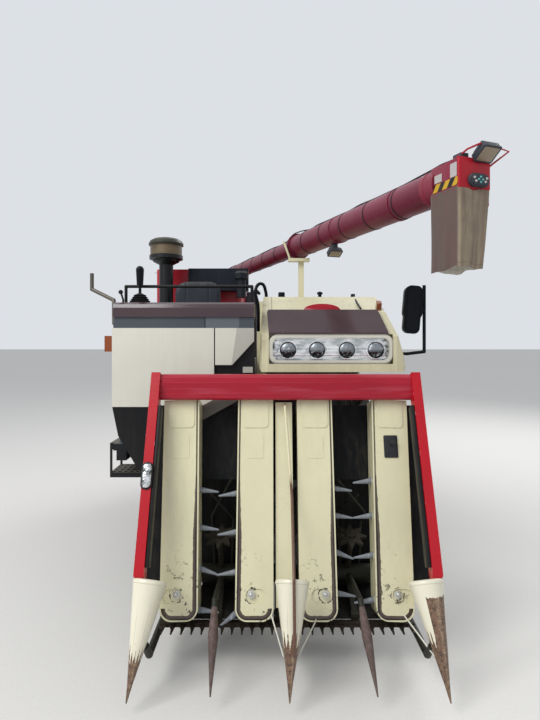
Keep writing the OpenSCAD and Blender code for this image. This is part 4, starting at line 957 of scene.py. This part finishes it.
guard = tube("lamp_guard", [on_auger(*spot) for spot in (
    (-62, 4160, 66), (-40, 4226, 99), (-6, 4262, 114), (66, 4264, 112), (150, 4262, 100), (96, 4206, 46),
    (88, 4196, 36))], 4.6, smooth=False)
finished(guard, "lamp_guard", rod_red, "auger_boom", angle=60)
for piece in (spout, guard):
    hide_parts("spout_box")
band = stand(plate("hazard_band", 168, 35, 1.0, corner=2), on_auger(SPOUT_LEFT - 0.4, 4116, -29), ALONG,
             -ACROSS)
finished(band, "hazard_band", hazard_paint, "auger_boom")
label = stand(plate("label", 50, 36, 1.0, corner=3), on_auger(SPOUT_LEFT - 0.4, 4072, 12), ALONG, -ACROSS)
tall = stand(plate("label_tall", 42, 60, 1.0, corner=3), on_auger(SPOUT_LEFT - 0.4, 4174, 22), ALONG,
             -ACROSS)
finished([label, tall], "blank_labels", label_white, "auger_boom")

# %% [markdown]
# The work lamp over the spout is a finned casting with a clouded square glass that looks down. Under it an
# oval switch box carries eight rubber buttons, four teal ones in a cross and four pale ones. A second lamp
# hangs under the tube.

# %% The spout's lamps and switches
lamp_grey = coated("lamp_grey", "#343840", chip=0.12, chip_size=60, edge=0.3, streak=0.2, dirt=0.25,
                   dirt_height=0.5, under="#6B6560", grain=0.25, gloss=0.3)
cloudy_glass = coated("cloudy_glass", "#8A7B66", rough=0.3, fade=0.25, streak=0.3, dirt=0.15,
                      grime="#5A5044", coat=0.3)
button_teal = coated("button_teal", "#5FA8A8", rough=0.4, fade=0.15, grain=0.1)
button_pale = coated("button_pale", "#C6C2BC", rough=0.4, fade=0.15, streak=0.2, grain=0.1)
LENS_WAY = (ALONG * 0.574 - UP * 0.819).normalized()


def work_lamp(name, centre, way, wide, high):
    """A finned lamp body with its rim, and its glass, looking along a way."""
    body = block(name, wide, high, 32, edge=5)
    rim = plate(name + "_rim", wide + 6, high + 6, 7, corner=8, edge=1.6)
    rim.data.transform(Matrix.Translation((0, 0, 12 * MM)))
    fins = []
    for number in range(6):
        fin = block(name + "_fin", 3, high * 0.72, 14, edge=0.8)
        fin.data.transform(Matrix.Translation(((number - 2.5) * wide / 7 * MM, 0, -21 * MM)))
        fins.append(fin)
    glass = plate(name + "_glass", wide - 12, high - 12, 4, corner=5, edge=1.0)
    glass.data.transform(Matrix.Translation((0, 0, 16.5 * MM)))
    body = joined(name, [body, rim] + fins)
    for piece in (body, glass):
        stand(piece, centre, ACROSS, way)
    return body, glass


lamp, lamp_glass = work_lamp("work_lamp", on_auger(45, 4242, 93), LENS_WAY, 92, 80)
yoke = tube("yoke", [on_auger(45, along, z) for along, z in ((4150, 68), (4180, 96), (4216, 106))], 7,
            smooth=False)
oval = stand(plate("switch_body", 104, 58, 18, corner=28, edge=2.5), on_auger(23, 4212, -27), ACROSS, ALONG)
panel = stand(plate("switch_panel", 94, 48, 6, corner=23, edge=1.2), on_auger(23, 4229, -27), ACROSS, ALONG)
clamp = stand(block("clamp_box", 42, 54, 26, edge=4), on_auger(-34, 4176, 80), ACROSS, UP)
SECOND_LAMP_AT = 2945
hanger = stand(block("hanger", 32, 36, 34, edge=3), on_auger(0, SECOND_LAMP_AT, -96), ACROSS, UP)
second, second_glass = work_lamp("second_lamp", on_auger(0, SECOND_LAMP_AT, -130), LENS_WAY, 88, 56)
lamp = finished([lamp, yoke, oval, panel, clamp, hanger, second], "work_lamps", lamp_grey, "auger_boom")
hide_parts("spout_lamps")
finished([lamp_glass, second_glass], "work_glasses", cloudy_glass, "auger_boom")


def button(name, places, material):
    model = turned(name, [[5.2, 0], [5.2, 2.6], [4.2, 4], [0.6, 4.4]], sides=14)
    made = repeated(name, model, [(on_auger(23 + x, 4235, -27 + z), ACROSS, ALONG) for x, z in places])
    return finished(made, name, material, "auger_boom")


button("cross_buttons", [(0, 11), (0, -11), (-11, 0), (11, 0)], button_teal)
button("side_buttons", [(-33, 7), (-25, -8), (33, 7), (25, -8)], button_pale)

# %% [markdown]
# The sleeve under the spout is a tube of coated cloth, stiff enough to keep two corners, brown-grey with
# reddish streaks on its left face and tan in front, with a ragged hem that shows the pale lining. It is
# lofted from rings that follow the spout's rounded rectangle. Folds grow towards the hem, where nothing
# holds the cloth. Loft and folds are moved by code, ring by ring, since a hanging tube settles into almost
# the same shape in a simulation.

# %% The sleeve's cloth
weave, (place, scale), height = new_group("woven_cloth", "Height", scale=700.0)
threads = []
for direction in ("X", "Y"):
    wave = new_node(weave, "TexWave", distortion=0.6, vector=place, scale=scale)
    wave.bands_direction = direction
    threads.append(Wire(wave.outputs["Fac"]))
feed(height, threads[0] * threads[1])


def cloth_finish(name, light_tone, dark_tone, streak_tone, streaky):
    material, shader, place = shader_of(name)
    around = new_node(place.tree, "UVMap")
    around.uv_map = "around"
    around = Wire(around.outputs["UV"])
    u, v = axis_of(around, "X"), axis_of(around, "Y")
    body = mixed(1.0 - step_up(u, 0.735, 0.755), paint(light_tone), paint(dark_tone))
    line = noise(around, 26.0, 4.0, 0.6, (1.0, 0.05, 1.0))
    body = mixed(step_up(line, 0.42, 0.68) * streaky, body, paint(streak_tone))
    soil = step_up(noise(around, 6.0, 5.0, 0.7, (1.0, 0.5, 1.0)), 0.4, 0.75)
    body = mixed(soil * 0.4, body, paint(dark_tone, 0.85))
    hem = abs(v - 0.055) < 0.004
    feed(shader.inputs["Base Color"], mixed(hem * 0.5, body, paint(dark_tone, 0.5)))
    constants(shader, roughness=0.72, sheen_weight=0.25)
    bumpy(shader, placed(weave, place, scale=420.0) + line * 0.8, 0.35, 0.001)
    return material


sleeve_outside = cloth_finish("sleeve_outside", "#897C66", "#4C3B32", "#5A302A", 0.6)
sleeve_lining = cloth_finish("sleeve_lining", "#E8E4DA", "#DAD5CA", "#B0A595", 0.2)

# %% The sleeve
SLEEVE_HALF = (SPOUT_WIDE / 2 + 4.0, 100.0)
SLEEVE_MIDDLE = 4115.0
SLEEVE_TOP, SLEEVE_FOOT = -54.0, -412.0
RING, ROWS, ROW_STEP = 96, 36, 10
CORNER = 13.0


def round_the_spout(turn):
    """A point of the sleeve's outline, from 0 to 1 round it, and the way out of it."""
    straight = (SLEEVE_HALF[0] - CORNER, SLEEVE_HALF[1] - CORNER)
    lengths = [2 * straight[1], math.pi / 2 * CORNER, 2 * straight[0], math.pi / 2 * CORNER] * 2
    left = turn * sum(lengths)
    corners = [(straight[0], straight[1]), (-straight[0], straight[1]), (-straight[0], -straight[1]),
               (straight[0], -straight[1])]
    for number, length in enumerate(lengths):
        if left <= length or number == 7:
            break
        left -= length
    quarter = number // 2
    angle = math.radians(90 * quarter)
    out = Vector((math.cos(angle), math.sin(angle)))
    way = Vector((-out.y, out.x))
    pivot = Vector(corners[quarter])
    if number % 2:
        bend = left / CORNER
        out = out * math.cos(bend) + way * math.sin(bend)
        return pivot + out * CORNER, out
    return pivot + out * CORNER - way * (length - left), out


def wave(high, count, turn, start):
    """A wave in mm that runs a number of times round the sleeve."""
    return high * math.sin(turn * 2 * math.pi * count + start)


alone()
bpy.ops.mesh.primitive_circle_add(vertices=RING, radius=0.1, fill_type="NOTHING")
sleeve = newest("sleeve")
edit()
for row in range(ROWS):
    extrude(0, 0, -ROW_STEP)
bpy.ops.object.mode_set(mode="OBJECT")
around_layer = sleeve.data.uv_layers.new(name="around")
shares = {}
for point in sleeve.data.vertices:
    turn = (math.atan2(point.co.y, point.co.x) / (2 * math.pi)) % 1.0
    down = -point.co.z / (ROW_STEP * MM * ROWS)
    shares[point.index] = (turn, down)
    spot, out = round_the_spout(turn)
    loose = down ** 1.5
    fold = wave(5.0, 5, turn, 1.3) + wave(3.5, 9, turn, 4.0 * down) + wave(2.0, 17, turn, 2.0)
    spot = spot + out * (fold * loose * 0.55 - 3.0 * down * (1 - down) * 4 * 0.4)
    pulled_in = (spot.x + SLEEVE_HALF[0]) * 0.24 * down ** 1.2
    spot.x -= pulled_in
    front_lift = 16.0 * max(0.0, math.sin((turn - 0.70) / 0.30 * math.pi)) if turn > 0.70 else 0.0
    hem = wave(5.0, 3, turn, 0.4) + wave(3.0, 7, turn, 2.2) + front_lift
    notch = -10.0 * max(0.0, 1 - abs(turn - 0.86) / 0.04) * max(0.0, 1 - down * 6)
    height = SLEEVE_TOP - 8 * (turn > 0.74) + (SLEEVE_FOOT + 8 - SLEEVE_TOP) * down
    height += hem * max(0.0, down - 0.6) / 0.4 + notch
    point.co = on_auger(SPOUT_X + spot.x, SLEEVE_MIDDLE - spot.y, height) * MM
for loop in sleeve.data.loops:
    turn, down = shares[loop.vertex_index]
    around_layer.data[loop.index].uv = (turn, 1 - down)
alone(sleeve)
edit()
outward()
for cloth in (sleeve_outside, sleeve_lining):
    sleeve.data.materials.append(cloth)
applied(sleeve, "SOLIDIFY", thickness=2.4 * MM, offset=-1, material_offset=1)
finished(sleeve, "cloth_sleeve", None, "auger_boom", angle=60)
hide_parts("spout_sleeve")

# %% [markdown]
# The seat is two foam pads under grey vinyl. A pad starts as a rounded block a little smaller than the
# solid it replaces, is remeshed into even small faces, and is blown up as cloth with gravity off, which
# crowns its faces and pulls its sides in between the corners. The sewn channels are pressed in afterwards,
# because the remesh would lose them.

# %% Seat vinyl
seat_vinyl, shader, place = shader_of("seat_vinyl")
body = mixed(step_up(noise(place, 9.0, 4.0, 0.6), 0.35, 0.7), paint("#262A31", 1.12), paint("#262A31", 0.8))
settled = placed(dust, place, height=0.2, amount=0.35)
feed(shader.inputs["Base Color"], mixed(settled, body, paint("#8E8778")))
feed(shader.inputs["Roughness"], 0.42 + settled * 0.4)
pores = new_node(place.tree, "TexVoronoi", scale=420.0, vector=place)
bumpy(shader, Wire(pores.outputs["Distance"]), 0.25, 0.001)
constants(shader, specular_ior_level=0.25)


# %% The pads
FILL_FRAMES = 20


def blown_up(piece, voxel, cap):
    """Remeshes a pad and blows it up as cloth, each point held within a cap in mm of its start."""
    alone(piece)
    piece.data.remesh_voxel_size = voxel * MM
    bpy.ops.object.voxel_remesh()
    start = [point.co.copy() for point in piece.data.vertices]
    cloth = piece.modifiers.new("filling", "CLOTH")
    cloth.settings.use_pressure = True
    cloth.settings.uniform_pressure_force = 4.0
    cloth.settings.effector_weights.gravity = 0.0
    cloth.settings.quality = 6
    cloth.point_cache.frame_start, cloth.point_cache.frame_end = 1, FILL_FRAMES
    for number in range(1, FILL_FRAMES + 1):
        bpy.context.scene.frame_set(number)
    alone(piece)
    bpy.ops.object.modifier_apply(modifier=cloth.name)
    bpy.context.scene.frame_set(1)
    for point, first in zip(piece.data.vertices, start):
        moved = point.co - first
        if moved.length > cap * MM:
            point.co = first + moved.normalized() * cap * MM
    return piece


def sewn(piece, along, lines, depth, floor_side, width=9.0):
    """Presses sewn channels into a pad at the given places along one axis, in mm."""
    axis = "XYZ".index(along)
    for point in piece.data.vertices:
        for line in lines:
            near = abs(point.co[axis] / MM - line) / width
            if near < 1:
                side = point.normal.dot(floor_side)
                if side > 0.3:
                    point.co -= point.normal * depth * MM * (1 - near) ** 2 * side
    return piece


seat_low, seat_high = (Vector(corner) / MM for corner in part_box("seat_cushions"))
pad = block("seat_pad", 420, 350, 84, edge=30)
SEAT_X = (seat_low.x + seat_high.x) / 2
stand(pad, (SEAT_X, -385, seat_low.z + 52), facing=UP)
blown_up(pad, 7, 9)
sewn(pad, "X", [seat_low.x + 120, seat_high.x - 120], 7, UP)
sewn(pad, "Y", [-330], 6, UP)
back = stand(plate("seat_back", 372, 530, 26, corner=95, edge=11), (SEAT_X, -199, 1842))
blown_up(back, 7, 7)
sewn(back, "X", [seat_low.x + 130, seat_high.x - 130], 5, Vector((0, -1, 0)))
for piece in (pad, back):
    applied(piece, "SUBSURF", levels=1, render_levels=1)
    finished(piece, piece.name, seat_vinyl, "machine", angle=70)
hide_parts("seat_cushions")
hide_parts("seat_cushions")

# %% [markdown]
# Each raking case is held by one bright dome nut in a pocket near its foot, with a washer under it. One
# case has a black latch plate with a round knob on its hatch. The nut is a turned dome on a six-sided foot,
# made once and copied.

# %% Nuts on the cases
BOLT_UP = 125
silver = coated("silver_zinc", "#C8C8C2", rough=0.3, fade=0.15, chip=0.1, chip_size=120, streak=0.0,
                dirt=0.1, under="#6A5A48", metal=0.75, grain=0.1)
nut = turned("nut", [[15, 0], [15, 2.4], [11, 2.6], [10.6, 8]], sides=6)
dome = turned("nut_dome", [[9.6, 7.6], [9.2, 10.5], [7.2, 13], [3.8, 14.6], [0.8, 15]], sides=16)
washer = turned("nut_washer", [[19, 0], [19, 1.8], [17.5, 2.4]], sides=28)
nut = joined("nut", [nut, dome, washer])
nuts = repeated("case_nuts", nut, [
    (on_case(number, BOLT_X[number], 3.8, BOLT_UP), (1, 0, 0.3), CASE_OUT) for number in range(4)])
finished(nuts, "case_nuts", silver, "header")

hatch_black = coated("hatch_black", "#15171B", rough=0.36, fade=0.1, edge=0.25, streak=0.0, dirt=0.12,
                     under="#66686A", grain=0.1)
latch = stand(plate("latch_plate", 74, 118, 3.0, corner=7, edge=0.8), on_case(3, 2, 1.6, 850),
              facing=CASE_OUT)
knob = stand(turned("latch_knob", [[17, 0], [17, 5], [15.4, 7], [15.4, 16], [13.6, 18.4], [6, 19]],
                    sides=28), on_case(3, 12, 4.4, 866), facing=CASE_OUT)
wing = stand(block("latch_wing", 30, 7, 12, edge=1.5), on_case(3, 12, 26, 866), (1, 0.2, 0.5), CASE_OUT)
screw = stand(turned("latch_screw", [[6, 0], [5.6, 2.2], [3.2, 3.4]], sides=12), on_case(3, -14, 4.4, 822),
              facing=CASE_OUT)
spare = stand(turned("latch_hole_ring", [[9, 0], [9, 2.2], [6.4, 2.4]], sides=20),
              on_case(3, -16, 4.4, 884), facing=CASE_OUT)
finished([latch, knob, wing, screw, spare], "latch", hatch_black, "header")

# %% [markdown]
# Thin white rods run straight from the cases' feet down to the centre and right cones, and part the crop.
# They were painted once and are now bare at their lower ends.

# %% Parting rods
def bare_ends(place, body):
    low = 1.0 - step_up(axis_of(place, "Z"), 0.14, 0.22)
    return mixed(low, body, paint("#5B4636"))


rod_white = coated("rod_white", "#D9D6C8", rough=0.35, fade=0.1, chip=0.2, chip_size=90, streak=0.0,
                   dirt=0.1, grain=0.15, zones=(bare_ends,))
rods = [tube(name, [on_case(*root), on_case(*bend), tip], 3.6, smooth=False) for name, root, bend, tip in (
    ("parting_a", (1, 84, -4, 34), (1, 86, 6, 28), (112, -2092, 211)),
    ("parting_b", (2, -15, -4, 12), (2, -16, 6, 6), (172, -2092, 206)),
    ("parting_c", (3, 44, -4, 32), (3, 45, 6, 26), (784, -2092, 214)))]
finished(rods, "parting_rods", rod_white, "header", angle=60)

# %% [markdown]
# The headlight side lamp on the left rail is a clear lens over a small bright reflector, bulging a little
# out of its black housing.

# %% Side lamp
lamp_chrome, shader, place = shader_of("lamp_chrome")
flakes = step_up(noise(place, 22.0, 3.0, 0.6), 0.42, 0.58)
feed(shader.inputs["Base Color"], mixed(flakes, paint("#2E3235"), paint("#E4E7E8")))
constants(shader, metallic=0.8, roughness=0.12, coat_weight=0.8)
cells = new_node(place.tree, "TexVoronoi", scale=150.0, vector=place)
bumpy(shader, Wire(cells.outputs["Distance"]), 0.4, 0.002)
RAIL_TOP, RAIL_FOOT = Vector((0, -1560, 1440)), Vector((0, -1952, 508))
RAIL_DOWN = (RAIL_FOOT - RAIL_TOP).normalized()
RAIL_OUT = Vector((0, RAIL_DOWN.z, -RAIL_DOWN.y))
RAIL_APART = 698


def on_rail(x, down, out):
    """A place by its X from the left rail's middle, its way down the rail and its height over it."""
    return Vector((HEADER_X - RAIL_APART + x, 0, 0)) + RAIL_TOP + RAIL_DOWN * down + RAIL_OUT * out


lamp_rim = stand(plate("lamp_rim", 58, 136, 7, corner=27, edge=1.6), on_rail(0, 548, 33.5),
                 facing=RAIL_OUT)
lens_dome = soften(plate("lens_dome", 46, 122, 15, corner=22.5), 8, segments=4)
stand(lens_dome, on_rail(0, 548, 36), facing=RAIL_OUT)
finished(lens_dome, "side_lamp_lens", lamp_chrome, "header")
strips = []
for side in (-1, 1):
    strip = block("strip", 18, 56, 791, edge=3)
    across = RAIL_APART + side * (RAIL_APART - 24 - 9.3)
    strips.append(stand(strip, on_rail(across, 575.5, 0), facing=RAIL_DOWN))
trim = finished(strips + [lamp_rim], "rail_strips", skirt_black, "header")
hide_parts("rail_trim")

# %% [markdown]
# Sixteen tines, four to a case, stick out of the cases' sides, each on a short collar. A tine is turned as
# a tapering finger, and bent down a little at its tip, as moulded plastic does after years in the sun.

# %% Raking tines
TINE_UP = [[20, 215, 415, 605], [10, 200, 395, 590], [100, 298, 478, 616], [65, 278, 474, 652]]


def case_edge(up):
    """Half of a case's width at a height over its foot, where its lower corners are round."""
    return CASE_FLAT + math.sqrt(CASE_ROUND ** 2 - max(0, CASE_ROUND - up) ** 2)


tine = turned("tine", [[19, 0], [19, 6], [15.5, 8], [14.5, 20], [5, 102], [3.6, 106], [0.6, 107]], sides=14)
for point in tine.data.vertices:
    point.co.x -= 0.002 * (point.co.z / 0.105) ** 2
TINE_DROP = {(1, 0): 62, (2, 1): 22, (0, 1): 20}
tine_places = []
for number, (heights, side) in enumerate(zip(TINE_UP, TINE_SIDE)):
    for row, up in enumerate(heights):
        root = on_case(number, side * (case_edge(up + 32) - 5), -70, up + 20)
        tip = on_case(number, side * 195, -56, up + 8 - TINE_DROP.get((number, row), 0))
        tine_places.append((root, CASE_UP, tip - root))
tines = repeated("raking_tines", tine, tine_places)
finished(tines, "raking_tines", tine_plastic, "header", angle=50)
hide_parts("rake_tines")

# %% [markdown]
# Each divider cone is closed on top by a domed plastic cap, through which the rail or the guide enters.

# %% Cone caps
cap_cream = coated("cap_cream", "#DDD8C2", rough=0.3, fade=0.08, chip=0.08, chip_size=36, edge=0.1,
                   streak=0.15, dirt=0.12, dirt_height=0.3, coat=0.15)
caps = []
for rim_x, tip_x in CONES:
    rim, tip = CONE_RIM + Vector((HEADER_X + rim_x, 0, 0)), CONE_TIP + Vector((HEADER_X + tip_x, 0, 0))
    cap = turned("cap", [[78, -12], [80.6, -9], [80.6, -3], [79, 3], [74, 8], [60, 10], [30, 11], [1, 11]],
                 sides=40)
    caps.append(stand(cap, rim, facing=rim - tip))
finished(caps, "cone_caps", cap_cream, "header", angle=50)

# %% [markdown]
# Behind the raking cases stand three black crop sheets, bent so that the straw slides up to the feeder. Two
# narrow sheets close the gaps beside the rails, and a floor plate runs forward to the knife on each side.
# Their near-black finish also stands in for the deep shade in the gaps between the cases, and the floor
# plates stand in for the shadowed ground seen under the header.

# %% Crop sheets
# Near-black, partly painted shade: it darkens the gaps between the cases.
crop_black_and_shade = coated("crop_black_and_shade", "#090B0F", rough=0.6, fade=0.3, chip=0.05, edge=0.2, streak=0.2,
                    dirt=0.06, dirt_height=0.6, under="#3A2E26", grain=0.3, gloss=0.15)
UPPER = [[-1407, 1255], [-1516, 860]]
DEEP = UPPER + [[-1432, 850], [-1426, 400], [-1426, 222]]
SHADOW_PLATES_TO_KNIFE, BESIDE_RAIL = [[-1428, 236], [-1748, 208]], [[-1498, 1265], [-1757, 330]]
sheets = [folded("crop_sheet", left, right, bends, 3) for left, right, bends in (
    (-334, -92, DEEP), (50, 215, UPPER + [[-1490, 850]]), (357, 640, DEEP), (-338, -92, SHADOW_PLATES_TO_KNIFE),
    (357, 620, SHADOW_PLATES_TO_KNIFE), (-586, -478, BESIDE_RAIL), (750, 874, BESIDE_RAIL))]
finished(sheets, "crop_sheets_and_shade", crop_black_and_shade, "header")

# %% [markdown]
# The mouth of the feeder, under the lamp cowl, is closed to the front by a black rubber curtain on a
# steel frame. Seen from in front, its black is partly painted shade: it makes the gap between the two right
# cases dark.

# %% Feeder curtain
# Painted shade, in part: the near-black curtain darkens the gap between the two right cases.
curtain_rubber_and_shade = coated("curtain_rubber_and_shade", "#101114", rough=0.6, dirt=0.12, grain=0.4, grain_size=160)
strips = []
for number in range(9):
    strip = plate("curtain_strip", 74, 640, 4, corner=5, edge=0.8)
    strips.append(stand(strip, (62 + number * 74, -524.5 - 2.2 * (number % 2), 1110)))
holder = plate("curtain_holder", 676, 46, 8, corner=3, edge=1)
strips.append(stand(holder, (360, -526.5, 1420)))
finished(strips, "feeder_curtain", curtain_rubber_and_shade, "machine")

# %% [markdown]
# The auger's control cable is clipped along the top of the tube with black ties, and ends in the clamp box
# over the spout. Between the ties it lifts a little.

# %% Cable along the auger
cable_black = coated("cable_black", "#101114", fade=0.1, streak=0.0, dirt=0.15, grain=0.2)
REAR_R, FRONT_R = 64, 82
FLANGE_AT = 2383
CABLE_START, CABLE_STEP = 330, 141
cable_points = []
for number in range(27):
    along = CABLE_START + number * CABLE_STEP
    radius = REAR_R if along < FLANGE_AT - 10 else FRONT_R
    lift = 8 if number % 2 else 5.2
    if abs(along - FLANGE_AT) < 80:
        radius, lift = FRONT_R + 14, 6
    if along > AUGER_LENGTH - 170:
        break
    cable_points.append(on_auger(-8 + 5 * math.sin(number * 1.7), along, radius + lift))
for x, along, high in ((-16, 3960, 92), (-26, 4040, 91), (-34, 4110, 84), (-34, 4162, 82)):
    cable_points.append(on_auger(x, along, high))
cable = tube("auger_cable", cable_points, 4.5)
ties = []
for number in range(0, 26, 2):
    along = CABLE_START + number * CABLE_STEP
    if along > AUGER_LENGTH - 190 or abs(along - FLANGE_AT) < 60:
        continue
    radius = REAR_R if along < FLANGE_AT else FRONT_R
    ring = turned("tie", [[radius + 2.4, -4], [radius + 2.4, 4], [radius + 0.6, 4], [radius + 0.6, -4]],
                  sides=40)
    ties.append(stand(ring, on_auger(0, along, 0), UP, ALONG))
finished([cable] + ties, "auger_cable", cable_black, "auger_boom", angle=60)

# %% [markdown]
# The console and the top of the cowl carry small things that the eye expects: a ribbed rubber boot round
# the steering lever, two bent pipes, a red oval grip behind the visor and a black strut beside it. A grey
# flap of clouded plastic hangs in the left gap between the cases.

# %% Small things on the console, the cowl and the cases
boot = turned("lever_boot", [
    [72, -2], [74, 6], [60, 11], [65, 18], [52, 23], [57, 30], [44, 35], [49, 42], [36, 47], [40, 54],
    [26, 60], [16, 66]], sides=28)
stand(boot, (-766, -1100, 1858), facing=UP)
pipes = [tube("pipe", points, 11, sides=12) for points in (
    [(-26, -900, 1690), (-28, -900, 1860), (-40, -895, 1985), (-6, -880, 2010), (22, -850, 1960),
     (24, -820, 1880)],
    [(-62, -900, 1690), (-66, -900, 1850), (-70, -895, 1930), (-46, -870, 1962), (-22, -820, 1950)])]
strut = tube("strut", [(612, -850, 1930), (621, -1088, 1831)], 7, smooth=False)
foot_block = stand(block("strut_foot", 26, 30, 34, edge=3), (612, -838, 1928), facing=UP)
wedge = stand(block("wedge", 44, 40, 46, edge=6), (129, -834, 1934), facing=UP)
post = stand(turned("post", [[24, 0], [24, 8], [12, 12], [12, 30], [20, 34], [19, 44], [8, 50]], sides=20),
             (389, -830, 1912), facing=UP)
finished([boot, strut, foot_block, wedge, post] + pipes, "small_fittings", plastic_black, "machine",
         angle=50)
grip = turned("hood_grip", [[112, 0], [114, 3], [114, 10], [110, 14], [1, 14]], sides=40)
grip.data.transform(Matrix.Diagonal((1, 0.33, 1, 1)))
stand(grip, (380, -1076, 1822), facing=(0, -1, 0.2))
finished(grip, "hood_grip", rod_red, "machine", angle=50)
flap = stand(plate("gap_flap", 236, 74, 3, corner=6, edge=1), (-244, -1418, 1262), (0.86, 0, 0.5),
             (0, -1, 0.27))
finished(flap, "gap_flap", coated("flap_grey", "#5A554E", fade=0.3, streak=0.3, grain=0.2), "header")

# %% [markdown]
# The sheet metal of the sides and the back is held by rows of hexagon bolts, and closed by rubber latches.
# The radiator door has a row of slats, so that chaff doesn't clog it. One bolt is modelled and then copied.

# %% Bolts, latches and slats
bolt = turned("bolt", [[8.5, 0], [8.5, 1.6], [6.8, 1.8], [6.6, 5.4], [5.6, 6]], sides=6)
places = [((744, y, z), (0, 1, 0), (1, 0, 0)) for y in range(-440, 1450, 210) for z in (792, 1168)]
places += [((-936, y, z), (0, 1, 0), (-1, 0, 0)) for y in range(190, 1190, 165) for z in (800, 1380, 2225)]
places += [((x, 2240, z), (1, 0, 0), (0, 1, 0)) for x in range(60, 850, 128) for z in (900, 1560)]
bolts = repeated("side_bolts", bolt, places)
finished(bolts, "side_bolts", silver, "machine")
hooks = []
for y in (-300, 500, 1300):
    base = plate("latch_base", 44, 78, 6, corner=6, edge=1)
    hooks.append(stand(base, (743, y, 1120), (0, 1, 0), (1, 0, 0)))
    pull = block("latch_pull", 26, 52, 12, edge=4)
    hooks.append(stand(pull, (752, y, 1126), (0, 1, 0), (1, 0, 0)))
for y in (420, 900):
    rung = tube("hand_hold", [(-932, y - 90, 1760), (-966, y - 80, 1760), (-966, y + 80, 1760),
                              (-932, y + 90, 1760)], 9, smooth=False)
    hooks.append(rung)
finished(hooks, "side_latches", hatch_black, "machine", angle=50)
slat = block("slat", 10, 570, 24, edge=3)
slats = repeated("door_slats", slat, [
    ((-930, -246, z), (1, 0, -0.5), (0, 0, 1)) for z in range(850, 1350, 46)])
finished(slats, "door_slats", duct_grey, "radiator_door")
red_glass = coated("red_glass", "#8E1016", rough=0.2, fade=0.1, dirt=0.15, coat=0.4, grain=0.3,
                   grain_size=120)
tail = [stand(plate("reflector", 74, 42, 9, corner=8, edge=2), (x, 2239, 1490), facing=(0, 1, 0))
        for x in (110, 770)]
finished(tail, "rear_reflectors", red_glass, "machine")

# %% [markdown]
# The rails end a little above the cones. A short length of the same red box section carries each of them
# into the cone's cap.

# %% Rail feet
feet = [stand(block("rail_foot", 45, 66, 74, edge=4), on_rail(across, 1024, 0), facing=RAIL_DOWN)
        for across in (2, 2 * RAIL_APART - 2)]
finished(feet, "rail_feet", rail_red, "header")

# %% [markdown]
# A plain pale floor catches the machine's shadow. The world behind it is pale for the eye and for mirrors,
# and gives a soft even light to everything else. Two large soft lamps stand in for the sky's brighter side.

# %% Floor, world and lamps
bpy.ops.mesh.primitive_plane_add(size=600, location=(0, 10, 0))
floor = newest("floor")
stone, shader, place = shader_of("pale_floor")
feed(shader.inputs["Base Color"], mixed(noise(place, 60.0, 6.0, 0.7), paint("#C9C7C2"), paint("#D9D7D2")))
constants(shader, roughness=0.85)
floor.data.materials.append(stone)

world = bpy.data.worlds.new("soft_sky")
bpy.context.scene.world = world
world.use_nodes = True
sky = world.node_tree
sky.nodes.clear()
light = new_node(sky, "Background", color=paint("#E9EDF4"), strength=0.8)
seen = new_node(sky, "Background", color=paint("#DDE1E6"))
rays = new_node(sky, "LightPath")
camera_ray, mirror_ray, glass_ray = [
    Wire(rays.outputs[f"Is {kind} Ray"]) for kind in ("Camera", "Glossy", "Transmission")]
plain = camera_ray.most(mirror_ray.most(glass_ray))
both = new_node(sky, "MixShader")
for socket, value in zip(both.inputs, (plain, light.outputs[0], seen.outputs[0])):
    feed(socket, value)
new_node(sky, "OutputWorld", surface=both.outputs[0])


def soft_lamp(name, place, aim, size, power):
    data = bpy.data.lights.new(name, "AREA")
    data.size = size
    data.energy = power
    lamp = bpy.data.objects.new(name, data)
    lamp.location = place
    lamp.rotation_euler = (Vector(aim) - Vector(place)).to_track_quat("-Z", "Y").to_euler()
    bpy.context.scene.collection.objects.link(lamp)
    return lamp


soft_lamp("sky_side", (-5.0, -6.0, 7.5), (0, -0.5, 1.0), 5.0, 680)
soft_lamp("sky_back", (5.0, 5.0, 7.0), (0, 0.5, 1.2), 5.0, 380)
